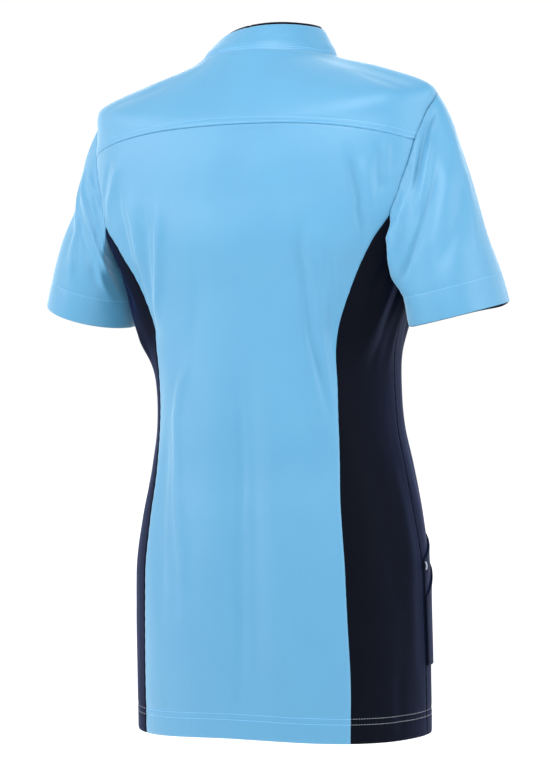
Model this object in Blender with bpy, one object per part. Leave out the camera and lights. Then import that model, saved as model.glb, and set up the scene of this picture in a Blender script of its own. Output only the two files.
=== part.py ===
# Polo tunic, worn form with no wearer: every cut piece of cloth is its own closed wall.
# Metres, +Z up. The origin is midway between the shoulders, level with the sides of the neck.
# The front faces -Y and the wearer's right hand is on -X.
#
# A point of the body is given by an angle and a level. The angle goes round the body in degrees:
# 0 at the centre of the back, 90 at the wearer's right side, 180 at the centre of the front, and
# minus on the wearer's left. The level is the height of the ring in millimetres. Rings below the
# underarm are flat, and those above it rise over the shoulders and close in on the neck.
import math

import bmesh
import bpy
import numpy as np

MM = 0.001

# Driving sizes, in millimetres
HEM_LEVEL = -726.0
UNDERARM_LEVEL = -205.0
SHOULDER_LEVEL = -50.0
NECK_LEVEL = 0.0
WALL = 1.6
THIN_WALL = 1.2
GAP = 0.3
LAID_GAP = 0.6
FRONT_FULLNESS = 0.03

# Rings of the body. Fullness squares off the quarter turns, here in hundredths.
RING_COLUMNS = ("level", "side_z", "back_z", "front_z", "half_width", "back_depth", "front_depth", "centre_y",
                "fullness")
RINGS = (
    (-726, -726, -726, -726, 166, 125, 108, -24, 8),
    (-640, -640, -640, -640, 166, 125, 112, -21, 8),
    (-560, -560, -560, -560, 166, 122, 114, -17, 8),
    (-500, -500, -500, -500, 159, 122, 112, -19, 8),
    (-440, -440, -440, -440, 146, 121, 104, -21, 8),
    (-400, -400, -400, -400, 137.5, 120, 101, -18, 8),
    (-360, -360, -360, -360, 136, 114, 103, -12, 8),
    (-310, -310, -310, -310, 142, 102, 112, 0, 8),
    (-255, -255, -255, -255, 160, 104, 128, 3, 8),
    (-205, -205, -205, -205, 178, 112, 140, 6, 8),
    (-150, -150, -157, -183, 203, 106, 140, 12, 8),
    (-100, -100, -115, -155, 204, 100, 132, 18, 8),
    (-75, -75, -93, -137, 201, 92, 127, 24, 7),
    (-50, -51, -72, -118, 198, 83, 121, 30, 6),
    (-25, -25, -37, -98, 139, 74, 98, 22, 4),
    (-10, -9, -12, -84, 87, 65, 82, 16, 2),
    (0, -2, 1, -75, 76, 60.5, 73, 13, 0),
)

# Angles of the long seams
SEAM_COLUMNS = ("level", "back_princess", "side", "front_princess")
SEAMS = (
    (-726, 45.1, 94.2, 136),
    (-660, 45.5, 93.2, 136),
    (-600, 44.5, 91.7, 136),
    (-540, 43.6, 90.4, 136),
    (-480, 44.1, 88.4, 135),
    (-440, 46.2, 88.6, 134),
    (-400, 49.0, 90.4, 133),
    (-360, 49.4, 91.4, 133),
    (-310, 47.5, 90.6, 132),
    (-255, 49.6, 90.0, 129),
    (-225, 52.4, 90.0, 126),
    (-200, 55.0, 90.0, 123),
    (-178, 57.5, 90.0, 121),
)

# Counts of steps along the shared seams
BODY_ROWS = 22
BACK_COLUMNS = 16
FRONT_HALF_COLUMNS = 8
SIDE_COLUMNS = 5
SHOULDER_ROWS = 6

# The armhole, from the underarm up the back, over the shoulder and down the front
ARMHOLE_COLUMNS = ("angle", "level")
ARMHOLE = {
    "underarm to back princess": ((90, -205), (77, -203), (64.5, -195), (57.5, -178)),
    "back princess to yoke": ((57.5, -178), (58.8, -152), (62.5, -128), (67.5, -100)),
    "yoke to shoulder seam": ((67.5, -100), (74, -82), (82, -65), (91, -53), (101, -50)),
    "shoulder seam to front princess": ((101, -50), (112, -64), (119, -92), (122, -130), (121, -182)),
    "front princess to underarm": ((121, -182), (112, -197), (102, -203), (90, -205)),
}
ARMHOLE_STEPS = {
    "underarm to back princess": SIDE_COLUMNS,
    "back princess to yoke": 5,
    "yoke to shoulder seam": 5,
    "shoulder seam to front princess": 8,
    "front princess to underarm": SIDE_COLUMNS,
}
SHOULDER_SEAM_ANGLE = 101.0

# Yoke seam level at the centre of the back and at the armhole
YOKE_CENTRE_LEVEL = -62.0
YOKE_END_ANGLE = 67.5
YOKE_END_LEVEL = -100.0

# Largest folds: a soft ridge (plus) or trough (minus) along a line. On the body across is the
# angle and along is the level. On a sleeve across is the turn round it, 0 at the top, 90 at the
# back and 180 at the underarm, and along is the share of its length from the armhole.
FOLD_COLUMNS = ("across_0", "along_0", "across_1", "along_1", "width", "height")
BODY_FOLD_SCALE = (2.6, 1.0)
BODY_FOLDS = (
    (62, -190, 66, -300, 26, 8),
    (-62, -190, -66, -300, 26, 8),
    (86, -46, 84, -28, 24, 5),
    (-86, -46, -84, -28, 24, -2),
    (47, -235, 47, -290, 16, -4),
    (-47, -235, -47, -290, 16, -4),
)

# The hem hangs lower or higher than its level, fading out above
HEM_WAVE_COLUMNS = ("angle", "drop")
HEM_WAVE = ((-180, 0), (-95, -1), (-40, 3), (0, -1.5), (45, 0.5), (95, 0), (180, 0))
HEM_WAVE_TOP = -600.0

# Sleeves
SLEEVE_HEMS = {
    "right": {"centre": (-222, 14, -281), "normal": (-0.20, -0.15, -0.97)},
    "left": {"centre": (220, 14, -272), "normal": (0.31, -0.13, -0.94)},
}
SLEEVE_FOLD_SCALE = (1.1, 170.0)
SLEEVE_FOLD_START = 0.2
SLEEVE_FOLDS = {
    "right": (
        (125, 0.24, 135, 0.50, 26, 10),
        (-25, 0.35, -25, 0.65, 26, -5),
    ),
    "left": (
        (10, 0.48, 60, 0.50, 26, -7),
    ),
}
SLEEVE_HEM_HALF_WIDTH = 52.0
SLEEVE_HEM_HALF_DEPTH = 62.0
SLEEVE_CENTRE_Y = 8.0
SLEEVE_CENTRE_Z = -128.0
SLEEVE_HALF_Y = 68.0
SLEEVE_HALF_Z = 77.0
SLEEVE_ROWS = 9
SLEEVE_CAP_LIFT = 0.42
SLEEVE_TOP_HANDLE = 0.22
SLEEVE_HEM_HANDLE = 0.36
SLEEVE_FACING_DEPTH = 28.0
FACING_SHOWS = 1.0

# Collar
COLLAR_TOP = {"side_z": 24, "back_z": 28, "front_z": -42, "half_width": 58, "back_depth": 49,
              "front_depth": 58, "centre_y": 9, "fullness": 0}
COLLAR_TILT = -0.08
COLLAR_ROWS = 3
COLLAR_INNER_LIFT = 1.0
COLLAR_INNER_SHOWS = 1.0

# Front placket and buttons
PLACKET_HALF_WIDTH = 13.0
PLACKET_BOTTOM_LEVEL = -130.0
PLACKET_OVERLAP = 3.0
BUTTON_ROWS = (1, 5, 9)
BUTTON_SIDES = 20
BUTTON_PROFILE = ((4.6, 0.0), (5.2, 0.6), (5.2, 1.6), (4.6, 2.2), (3.6, 1.8))

# Pockets: the level of each opening from the side seam to the front seam
POCKET_EDGE = 0.03
POCKET_PLACES = (0.0, 0.5, 1.0)
POCKET_OPENINGS = {"pocket_back": (-541, -521, -500), "pocket_front": (-580, -553, -527)}
POCKET_BOTTOM_LEVEL = -652.0
POCKET_ROWS = 7
LOOP_PLACE = 0.04
LOOP_WIDTH_SHARE = 0.03
LOOP_LOW_LEVEL = -550.0
LOOP_HIGH_LEVEL = -541.5

# Finishes: colour, linear, and roughness
BLUE_KNIT = ((0.18, 0.50, 0.82), 0.85)
NAVY_KNIT = ((0.008, 0.011, 0.022), 0.75)
GREY_TAPE = ((0.45, 0.50, 0.56), 0.8)
BUTTON_FINISH = ((0.20, 0.50, 0.78), 0.3)

# Steps for taking a normal, samples along a seam curve, and the limits of mitres and smooth edges
NORMAL_ANGLE_STEP = 0.3
NORMAL_LEVEL_STEP = 0.5
CURVE_SAMPLES = 121
SLOPE_LIMIT = 3.0
MITRE_LIMIT = 0.6
SMOOTH_EDGE_ANGLE = 40.0


def columns(names, rows):
    """Columns of a table by name, as arrays."""
    table = np.array(rows, float)
    return {name: table[:, i] for i, name in enumerate(names)}


def smooth(xs, ys, x):
    """Value at x of a smooth curve through the points (xs, ys), kept from swinging past them."""
    rise = np.abs(np.diff(ys) / np.diff(xs))
    limit = SLOPE_LIMIT * np.concatenate([rise[:1], np.minimum(rise[:-1], rise[1:]), rise[-1:]])
    slopes = np.clip(np.gradient(ys, xs), -limit, limit)
    i = np.clip(np.searchsorted(xs, x, side="right") - 1, 0, len(xs) - 2)
    step = xs[i + 1] - xs[i]
    s = (x - xs[i]) / step
    start = (1 + 2 * s) * (1 - s) ** 2 * ys[i] + s * (1 - s) ** 2 * step * slopes[i]
    end = s * s * (3 - 2 * s) * ys[i + 1] - s * s * (1 - s) * step * slopes[i + 1]
    return start + end


RING_TABLE = columns(RING_COLUMNS, RINGS)
SEAM_TABLE = columns(SEAM_COLUMNS, SEAMS)
BODY_FOLD_TABLE = columns(FOLD_COLUMNS, BODY_FOLDS)
WAVE_TABLE = columns(HEM_WAVE_COLUMNS, HEM_WAVE)


def ring_point(ring, angle):
    """Point at an angle on a ring given by its named sizes."""
    turn = np.radians(angle)
    s, c = np.sin(turn), np.cos(turn)
    behind = c > 0
    fullness = ring["fullness"] / 100
    depth = np.where(behind, ring["back_depth"], ring["front_depth"])
    end_z = np.where(behind, ring["back_z"], ring["front_z"])
    x = -ring["half_width"] * s * (1 + fullness * c * c)
    y = ring["centre_y"] + depth * c * (1 + np.where(behind, fullness, FRONT_FULLNESS) * s * s)
    z = ring["side_z"] + (end_z - ring["side_z"]) * c * c
    return np.stack([x, y, z], -1)


def wrapped(angle):
    """The same angle between -180 and 180 degrees."""
    return (angle + 180) % 360 - 180


def plain_body(angle, level):
    """Body surface without folds, in millimetres."""
    ring = {name: smooth(RING_TABLE["level"], RING_TABLE[name], level) for name in RING_COLUMNS[1:]}
    point = ring_point(ring, angle)
    drop = smooth(WAVE_TABLE["angle"], WAVE_TABLE["drop"], wrapped(angle))
    fade = np.clip((HEM_WAVE_TOP - level) / (HEM_WAVE_TOP - HEM_LEVEL), 0, 1)
    point[..., 2] -= drop * fade ** 2
    return point


def unit(v):
    return v / np.maximum(np.linalg.norm(v, axis=-1, keepdims=True), 1e-9)


def surface_normal(surface, angle, level):
    """Outward normal of a surface given by angle and level."""
    high = np.minimum(level + NORMAL_LEVEL_STEP, NECK_LEVEL)
    along = surface(angle, high) - surface(angle, high - 2 * NORMAL_LEVEL_STEP)
    around = surface(angle + NORMAL_ANGLE_STEP, level) - surface(angle - NORMAL_ANGLE_STEP, level)
    return unit(np.cross(around, along))


def fold_heights(folds, scale, across, along):
    """Height of all the folds of a table together. scale gives millimetres a unit both ways."""
    place = np.stack(np.broadcast_arrays(across, along), -1) * scale
    total = np.zeros(place.shape[:-1])
    for i in range(len(folds["height"])):
        start = np.array([folds["across_0"][i], folds["along_0"][i]]) * scale
        run = np.array([folds["across_1"][i], folds["along_1"][i]]) * scale - start
        share = np.clip((place - start) @ run / (run @ run), 0, 1)
        distance = np.linalg.norm(place - start - share[..., None] * run, axis=-1)
        total += folds["height"][i] * np.exp(-(distance / folds["width"][i]) ** 2)
    return total


def folds_all_round(folds, scale, across, along):
    """The same on a tube, where 360 degrees across lead back to the start."""
    return sum(fold_heights(folds, scale, across + turn, along) for turn in (-360, 0, 360))


def body(angle, level):
    """Body surface with its folds, in millimetres."""
    angle = np.asarray(angle, float)
    level = np.asarray(level, float)
    height = folds_all_round(BODY_FOLD_TABLE, BODY_FOLD_SCALE, wrapped(angle), level)
    return plain_body(angle, level) + surface_normal(plain_body, angle, level) * height[..., None]


def seam_angle(name, level):
    return smooth(SEAM_TABLE["level"], SEAM_TABLE[name], level)


def yoke_level(angle):
    rise = np.sin(np.radians(angle)) ** 2 / math.sin(math.radians(YOKE_END_ANGLE)) ** 2
    return YOKE_CENTRE_LEVEL + (YOKE_END_LEVEL - YOKE_CENTRE_LEVEL) * rise


def even_samples(curve, count):
    """Points at equal distances along a curve of (angle, level) points on the body."""
    places = body(curve[:, 0], curve[:, 1])
    run = np.concatenate([[0], np.cumsum(np.linalg.norm(np.diff(places, axis=0), axis=1))])
    wanted = np.linspace(0, run[-1], count + 1)
    return np.stack([np.interp(wanted, run, curve[:, i]) for i in range(2)], -1)


def armhole_seams():
    """The five runs of the right armhole, each as (angle, level) samples."""
    knots = []
    starts = {}
    for name, run in ARMHOLE.items():
        starts[name] = len(knots)
        knots += list(run[:-1])
    count = len(knots)
    closed = np.array(knots + knots + knots, float)
    index = np.arange(len(closed), dtype=float)
    runs = {}
    for name, run in ARMHOLE.items():
        first = count + starts[name]
        fine = np.linspace(first, first + len(run) - 1, CURVE_SAMPLES)
        curve = np.stack([smooth(index, closed[:, i], fine) for i in range(2)], -1)
        runs[name] = even_samples(curve, ARMHOLE_STEPS[name])
    return runs


def straight(start, end, count):
    return np.linspace(np.array(start, float), np.array(end, float), count + 1)


def seam_run(name, low, high, count):
    levels = np.linspace(low, high, count + 1)
    return np.stack([seam_angle(name, levels), levels], -1)


def fill_grid(bottom, top, left, right):
    """Grid between four sampled edges: rows from bottom to top, columns from left to right."""
    rows, cols = len(left), len(bottom)
    u = np.linspace(0, 1, cols)[None, :, None]
    w = np.linspace(0, 1, rows)[:, None, None]
    across = (1 - u) * left[:, None] + u * right[:, None]
    upward = (1 - w) * bottom[None] + w * top[None]
    corners = ((1 - u) * (1 - w) * bottom[0] + u * (1 - w) * bottom[-1]
               + (1 - u) * w * top[0] + u * w * top[-1])
    return across + upward - corners


def mirrored(run):
    return run * np.array([-1.0, 1.0])


def edge_direction(points, closed=False):
    """Direction along a row of points at each of them."""
    if closed:
        return unit(np.roll(points, -1, 0) - np.roll(points, 1, 0))
    return unit(np.gradient(points, axis=0))


def seam_walls(direction, side_a, normal_a, side_b, normal_b, wall):
    """Wall edges of two cloths that meet at a seam, and the shift that parts them.

    side_a and side_b run away from the seam into each cloth. Where the outer angle opens out,
    the two walls share a mitre, and elsewhere each keeps its own thickness.
    """
    side_a = unit(side_a - direction * (side_a * direction).sum(-1, keepdims=True))
    side_b = unit(side_b - direction * (side_b * direction).sum(-1, keepdims=True))
    middle = unit(normal_a + normal_b)
    spread = np.clip((middle * normal_a).sum(-1, keepdims=True), MITRE_LIMIT, 1)
    mitre = -middle * wall / spread
    bends_out = (side_b * normal_a).sum(-1, keepdims=True) < 0
    wall_a = np.where(bends_out, mitre, -normal_a * wall)
    wall_b = np.where(bends_out, mitre, -normal_b * wall)
    shift = unit(side_b - side_a) * GAP / 2
    return wall_a, wall_b, shift


# Sleeve surface
def sleeve_frame(side):
    """Hem centre, hem normal and the two directions across the hem of one sleeve."""
    hem = SLEEVE_HEMS["left" if side > 0 else "right"]
    centre = np.array(hem["centre"], float)
    normal = unit(np.array(hem["normal"]))
    outward = np.array([side, 0.0, 0.0])
    outward = unit(outward - normal * (outward @ normal))
    back = np.array([0.0, 1.0, 0.0])
    back = unit(back - normal * (back @ normal) - outward * (back @ outward))
    return centre, normal, outward, back


def sleeve_turn(loop):
    """Turn of each point of the armhole round the sleeve, 0 at its top."""
    return np.arctan2((loop[:, 1] - SLEEVE_CENTRE_Y) / SLEEVE_HALF_Y,
                      (loop[:, 2] - SLEEVE_CENTRE_Z) / SLEEVE_HALF_Z)


def sleeve_meridians(loop, side):
    """Four control points of each lengthwise line of a sleeve, from the armhole to the hem."""
    centre, normal, outward, back = sleeve_frame(side)
    turn = sleeve_turn(loop)
    hem = (centre + outward * (SLEEVE_HEM_HALF_WIDTH * np.cos(turn))[:, None]
           + back * (SLEEVE_HEM_HALF_DEPTH * np.sin(turn))[:, None])
    reach = np.linalg.norm(hem - loop, axis=1, keepdims=True)
    lift = SLEEVE_CAP_LIFT * np.clip(np.cos(turn), 0, 1)[:, None] * np.array([side, 0.0, 0.0])
    start = unit(unit(hem - loop) + lift)
    return loop, loop + start * reach * SLEEVE_TOP_HANDLE, hem - normal * reach * SLEEVE_HEM_HANDLE, hem


def along_meridians(controls, s):
    a, b, c, d = controls
    return a * (1 - s) ** 3 + b * 3 * s * (1 - s) ** 2 + c * 3 * s * s * (1 - s) + d * s ** 3


# Meshes
def new_material(name, finish):
    colour, roughness = finish
    material = bpy.data.materials.new(name)
    material.use_nodes = True
    shader = material.node_tree.nodes["Principled BSDF"]
    shader.inputs["Base Color"].default_value = (*colour, 1.0)
    shader.inputs["Roughness"].default_value = roughness
    material.diffuse_color = (*colour, 1.0)
    return material


def cloth_wall(name, outer, inner, material, cells):
    """One closed wall between two grids of points in millimetres, over the cells marked true.

    A grid whose cell array is as wide as its points closes on itself.
    """
    rows, cols = outer.shape[:2]
    half = rows * cols
    high, wide = cells.shape

    def corner(r, c):
        return r * cols + c % cols

    def filled(r, c):
        if wide == cols:
            c = c % cols
        return 0 <= r < high and 0 <= c < wide and cells[r, c]

    faces = []
    for r in range(high):
        for c in range(wide):
            if not cells[r, c]:
                continue
            around = (corner(r, c), corner(r, c + 1), corner(r + 1, c + 1), corner(r + 1, c))
            faces.append(around)
            faces.append(tuple(half + i for i in reversed(around)))
            beyond = ((r - 1, c), (r, c + 1), (r + 1, c), (r, c - 1))
            for k, place in enumerate(beyond):
                if not filled(*place):
                    first, last = around[k], around[(k + 1) % 4]
                    faces.append((last, first, half + first, half + last))
    used = sorted({i for face in faces for i in face})
    number = {old: new for new, old in enumerate(used)}
    points = np.concatenate([outer.reshape(-1, 3), inner.reshape(-1, 3)])[used] * MM
    mesh = bpy.data.meshes.new(name)
    mesh.from_pydata([tuple(p) for p in points], [], [[number[i] for i in face] for face in faces])
    return finished_object(name, mesh, material)


def finished_object(name, mesh, material):
    """Triangles facing out, smooth but for the wall's own edges, in one scene object."""
    work = bmesh.new()
    work.from_mesh(mesh)
    bmesh.ops.triangulate(work, faces=work.faces[:], quad_method="SHORT_EDGE")
    bmesh.ops.recalc_face_normals(work, faces=work.faces[:])
    if work.calc_volume(signed=True) < 0:
        bmesh.ops.reverse_faces(work, faces=work.faces[:])
    work.to_mesh(mesh)
    work.free()
    mesh.shade_smooth()
    mesh.set_sharp_from_angle(angle=math.radians(SMOOTH_EDGE_ANGLE))
    mesh.materials.append(material)
    thing = bpy.data.objects.new(name, mesh)
    bpy.context.scene.collection.objects.link(thing)
    return thing


def all_cells(grid, ring=False):
    rows, cols = grid.shape[:2]
    return np.ones((rows - 1, cols if ring else cols - 1), bool)


# Where the body meets a sleeve or the collar
def loop_seam(run, leave):
    """Walls and shifts of body and attached piece along a closed seam loop on the body."""
    points = body(run[:, 0], run[:, 1])
    normal = surface_normal(body, run[:, 0], run[:, 1])
    along = edge_direction(points, closed=True)
    outwards = points - points.mean(0)
    into_body = np.cross(along, normal)
    into_body = into_body * np.sign((into_body * outwards).sum())
    piece_normal = unit(np.cross(along, leave))
    piece_normal = piece_normal * np.sign((piece_normal * outwards).sum())
    return seam_walls(along, into_body, normal, leave, piece_normal, WALL)


class Armhole:
    """The seam between one sleeve and the body. side is 1 for the wearer's left, -1 for the right."""

    def __init__(self, side):
        self.side = side
        self.runs = {name: run if side < 0 else mirrored(run) for name, run in armhole_seams().items()}
        self.loop = np.concatenate([run[:-1] for run in self.runs.values()])
        self.points = body(self.loop[:, 0], self.loop[:, 1])
        self.controls = sleeve_meridians(self.points, side)
        leave = unit(self.controls[1] - self.controls[0])
        self.body_wall, self.sleeve_wall, self.shift = loop_seam(self.loop, leave)

    def edge(self, name):
        """Wall and shift of the body along one run, from its first sample to its last."""
        names = list(self.runs)
        first = sum(len(self.runs[n]) - 1 for n in names[:names.index(name)])
        index = (first + np.arange(len(self.runs[name]))) % len(self.loop)
        return self.body_wall[index], -self.shift[index]


class Neck:
    """The seam between the collar and the body."""

    def __init__(self, back_arc, front_arc):
        self.back_count = len(back_arc)
        self.run = np.concatenate([back_arc, front_arc[-2:0:-1]])
        points = body(self.run[:, 0], self.run[:, 1])
        top = ring_point(COLLAR_TOP, self.run[:, 0])
        top[:, 2] += COLLAR_TILT * top[:, 0]
        self.points, self.top = points, top
        self.body_wall, self.collar_wall, self.shift = loop_seam(self.run, unit(top - points))

    def back_edge(self):
        return self.body_wall[:self.back_count], -self.shift[:self.back_count]

    def front_edge(self):
        """Wall and shift along the front arc, from the right shoulder to the left one."""
        index = np.concatenate([[0], np.arange(len(self.run) - 1, self.back_count - 2, -1)])
        return self.body_wall[index], -self.shift[index]


def flat_shift(points, normal, inside):
    """Shift of an edge into its own cloth by half a seam gap, along the surface."""
    along = edge_direction(points)
    across = np.cross(along, normal)
    across = across * np.sign((across * (inside - points)).sum(-1, keepdims=True))
    return unit(across) * GAP / 2


class Panel:
    """A cut piece of the body over a grid of (angle, level) points."""

    def __init__(self, grid):
        self.grid = grid
        self.outer = body(grid[..., 0], grid[..., 1])
        self.normal = surface_normal(body, grid[..., 0], grid[..., 1])
        self.wall = -self.normal * WALL
        self.shift = np.zeros_like(self.outer)

    def line(self, name):
        """Index of the points along one edge, and of those one step inside it."""
        return {"bottom": (np.s_[0, :], np.s_[1, :]), "top": (np.s_[-1, :], np.s_[-2, :]),
                "left": (np.s_[:, 0], np.s_[:, 1]), "right": (np.s_[:, -1], np.s_[:, -2])}[name]

    def flat_seam(self, name, first=0, last=None):
        """Seam with another panel of the body along part of an edge."""
        edge, inside = self.line(name)
        shift = flat_shift(self.outer[edge], self.normal[edge], self.outer[inside])
        part = np.zeros((len(shift), 1))
        part[first:last] = 1
        self.shift[edge] = self.shift[edge] + shift * part

    def loop_edge(self, name, first, wall_and_shift):
        """Seam with a sleeve or the collar along part of an edge."""
        wall, shift = wall_and_shift
        edge = self.line(name)[0]
        self.wall[edge][first:first + len(wall)] = wall
        self.shift[edge][first:first + len(wall)] += shift

    def surfaces(self):
        outer = self.outer + self.shift
        return outer, outer + self.wall

    def build(self, name, material, cells=None):
        outer, inner = self.surfaces()
        return cloth_wall(name, outer, inner, material, all_cells(outer) if cells is None else cells)


def patch_points(panel, across, level):
    """Points and normals on a panel's own facets, at a share of its width and a level."""
    outer = panel.surfaces()[0]
    rows, cols = outer.shape[:2]
    c = np.clip(np.asarray(across, float) * (cols - 1), 0, cols - 1 - 1e-6)
    left = np.floor(c).astype(int)
    share = (c - left)[..., None]

    def on_column(column):
        heights = panel.grid[:, :, 1]
        place = np.array([np.interp(z, heights[:, k], np.arange(rows)) for z, k in
                          zip(np.ravel(level), np.ravel(column))]).reshape(np.shape(column))
        low = np.minimum(np.floor(place).astype(int), rows - 2)
        rest = (place - low)[..., None]
        point = outer[low, column] * (1 - rest) + outer[low + 1, column] * rest
        normal = panel.normal[low, column] * (1 - rest) + panel.normal[low + 1, column] * rest
        return point, normal

    point_a, normal_a = on_column(left)
    point_b, normal_b = on_column(left + 1)
    return point_a * (1 - share) + point_b * share, unit(normal_a * (1 - share) + normal_b * share)


def patch(name, panel, across, level, lift, wall, material):
    """A piece that lies on a panel: its points moved out by the lift."""
    across, level = np.broadcast_arrays(across, level)
    points, normal = patch_points(panel, across, level)
    inner = points + normal * lift
    return cloth_wall(name, inner + normal * wall, inner, material, all_cells(inner))


# Pieces of the body
def body_edges():
    """Every shared seam of the body as samples, once for all the panels."""
    junction = ARMHOLE["back princess to yoke"][0][1]
    front_junction = ARMHOLE["shoulder seam to front princess"][-1][1]
    back_line = seam_run("back_princess", HEM_LEVEL, junction, BODY_ROWS)
    back_line[-1] = ARMHOLE["back princess to yoke"][0]
    front_line = seam_run("front_princess", HEM_LEVEL, front_junction, BODY_ROWS)
    front_line[-1] = ARMHOLE["shoulder seam to front princess"][-1]
    side_line = seam_run("side", HEM_LEVEL, UNDERARM_LEVEL, BODY_ROWS)
    shoulder = straight((SHOULDER_SEAM_ANGLE, SHOULDER_LEVEL), (SHOULDER_SEAM_ANGLE, NECK_LEVEL), SHOULDER_ROWS)
    yoke_angles = YOKE_END_ANGLE * np.linspace(1, -1, BACK_COLUMNS + 1)
    yoke_seam = np.stack([yoke_angles, yoke_level(yoke_angles)], -1)
    neck_back = straight((SHOULDER_SEAM_ANGLE, NECK_LEVEL), (-SHOULDER_SEAM_ANGLE, NECK_LEVEL), BACK_COLUMNS)
    return {"back princess": back_line, "front princess": front_line, "side": side_line,
            "shoulder": shoulder, "yoke": yoke_seam, "neck back": neck_back}


def placket_angle(level):
    """Angle of the placket's edge on the front, so that its half width stays the same."""
    half_width = smooth(RING_TABLE["level"], RING_TABLE["half_width"], level)
    return 180 - np.degrees(np.arcsin(PLACKET_HALF_WIDTH / half_width))


def hem_run(start, end, count):
    return straight((start, HEM_LEVEL), (end, HEM_LEVEL), count)


def back_panel(edges, right, left, material):
    upper = "back princess to yoke"
    side_edge = np.concatenate([edges["back princess"], right.runs[upper][1:]])
    bottom = hem_run(side_edge[0, 0], -side_edge[0, 0], BACK_COLUMNS)
    panel = Panel(fill_grid(bottom, edges["yoke"], side_edge, mirrored(side_edge)))
    for name, armhole in (("left", right), ("right", left)):
        panel.flat_seam(name, 0, BODY_ROWS + 1)
        panel.loop_edge(name, BODY_ROWS, armhole.edge(upper))
    panel.flat_seam("top")
    panel.build("back_panel", material)
    return panel


def back_yoke(edges, right, left, neck, material):
    upper = "yoke to shoulder seam"
    side_edge = np.concatenate([right.runs[upper], edges["shoulder"][1:]])
    count = len(right.runs[upper])
    panel = Panel(fill_grid(edges["yoke"], edges["neck back"], side_edge, mirrored(side_edge)))
    for name, armhole in (("left", right), ("right", left)):
        panel.flat_seam(name, count - 1)
        panel.loop_edge(name, 0, armhole.edge(upper))
    panel.flat_seam("bottom")
    panel.loop_edge("top", 0, neck.back_edge())
    panel.build("back_yoke", material)
    return panel


def side_panels(edges, armhole, suffix, material):
    """The two navy panels under one arm."""
    flip = mirrored if armhole.side > 0 else (lambda run: run)
    side_line = flip(edges["side"])
    panels = {}
    for name, princess, run in (("side_back", "back princess", "underarm to back princess"),
                                ("side_front", "front princess", "front princess to underarm")):
        line = flip(edges[princess])
        top = armhole.runs[run] if name == "side_back" else armhole.runs[run][::-1]
        bottom = hem_run(side_line[0, 0], line[0, 0], SIDE_COLUMNS)
        panel = Panel(fill_grid(bottom, top, side_line, line))
        panel.flat_seam("left")
        panel.flat_seam("right")
        wall, shift = armhole.edge(run)
        order = 1 if name == "side_back" else -1
        panel.loop_edge("top", 0, (wall[::order], shift[::order]))
        panel.build(name + suffix, material)
        panels[name] = panel
    return panels


def front_panel(edges, right, left, neck, material):
    """The front, cut down its middle from the neck for the placket."""
    upper = "shoulder seam to front princess"
    armhole_rows = right.runs[upper][::-1]
    side_edge = np.concatenate([edges["front princess"], armhole_rows[1:], edges["shoulder"][1:]])
    levels = side_edge[:, 1]
    opening = np.stack([placket_angle(levels), levels], -1)
    bottom = hem_run(side_edge[0, 0], opening[0, 0], FRONT_HALF_COLUMNS)
    top = hem_run(SHOULDER_SEAM_ANGLE, opening[-1, 0], FRONT_HALF_COLUMNS) * (1, 0)
    half = fill_grid(bottom, top, side_edge, opening)
    other = half[:, ::-1] * (-1, 1) + (360, 0)
    panel = Panel(np.concatenate([half, other], axis=1))
    count = len(armhole_rows)
    shoulder_start = BODY_ROWS + count - 1
    for name, armhole in (("left", right), ("right", left)):
        panel.flat_seam(name, 0, BODY_ROWS + 1)
        wall, shift = armhole.edge(upper)
        panel.loop_edge(name, BODY_ROWS, (wall[::-1], shift[::-1]))
        panel.flat_seam(name, shoulder_start)
    panel.loop_edge("top", 0, neck.front_edge())
    cells = all_cells(panel.outer)
    slit_row = int(np.argmax(levels[:-1] >= PLACKET_BOTTOM_LEVEL))
    cells[slit_row:, FRONT_HALF_COLUMNS] = False
    panel.build("front_panel", material, cells)
    return panel, slit_row


# Sleeves
def grid_normals(points, outside, ring):
    """Outward normals of a grid of points. outside is a point set that they face."""
    along = np.gradient(points, axis=0)
    if ring:
        around = np.roll(points, -1, 1) - np.roll(points, 1, 1)
    else:
        around = np.gradient(points, axis=1)
    normal = unit(np.cross(along, around))
    return normal * np.sign((normal * outside).sum(-1).mean())


def sleeve(armhole, name, facing_name, cloth, facing_cloth):
    """A sleeve from armhole to hem, and the band that faces the inside of its hem."""
    s = np.linspace(0, 1, SLEEVE_ROWS + 1)[:, None]
    outer = along_meridians([p[None] for p in armhole.controls], s[..., None])
    normal = grid_normals(outer, outer - outer.mean(1, keepdims=True), ring=True)
    folds = columns(FOLD_COLUMNS, SLEEVE_FOLDS["left" if armhole.side > 0 else "right"])
    turn = np.degrees(sleeve_turn(armhole.points))[None]
    height = folds_all_round(folds, SLEEVE_FOLD_SCALE, turn, s) * np.clip(s / SLEEVE_FOLD_START, 0, 1)
    outer = outer + normal * height[..., None]
    normal = grid_normals(outer, outer - outer.mean(1, keepdims=True), ring=True)
    wall = -normal * WALL
    wall[0] = armhole.sleeve_wall
    outer[0] += armhole.shift
    cloth_wall(name, outer, outer + wall, cloth, all_cells(outer, ring=True))
    lowest = outer[-1]
    length = np.linalg.norm(outer[-1] - outer[-2], axis=-1).mean()
    rows_up = SLEEVE_FACING_DEPTH / length
    place = np.array([SLEEVE_ROWS - rows_up, SLEEVE_ROWS - rows_up / 2, SLEEVE_ROWS])
    low = np.minimum(np.floor(place).astype(int), SLEEVE_ROWS - 1)
    share = (place - low)[:, None, None]
    inside = outer + wall
    face = inside[low] * (1 - share) + inside[low + 1] * share
    face_normal = normal[low] * (1 - share) + normal[low + 1] * share
    face[-1] = inside[-1] + (lowest - outer[-2]) / length * FACING_SHOWS
    face = face - face_normal * LAID_GAP
    cloth_wall(facing_name, face, face - face_normal * THIN_WALL, facing_cloth, all_cells(face, ring=True))


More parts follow.
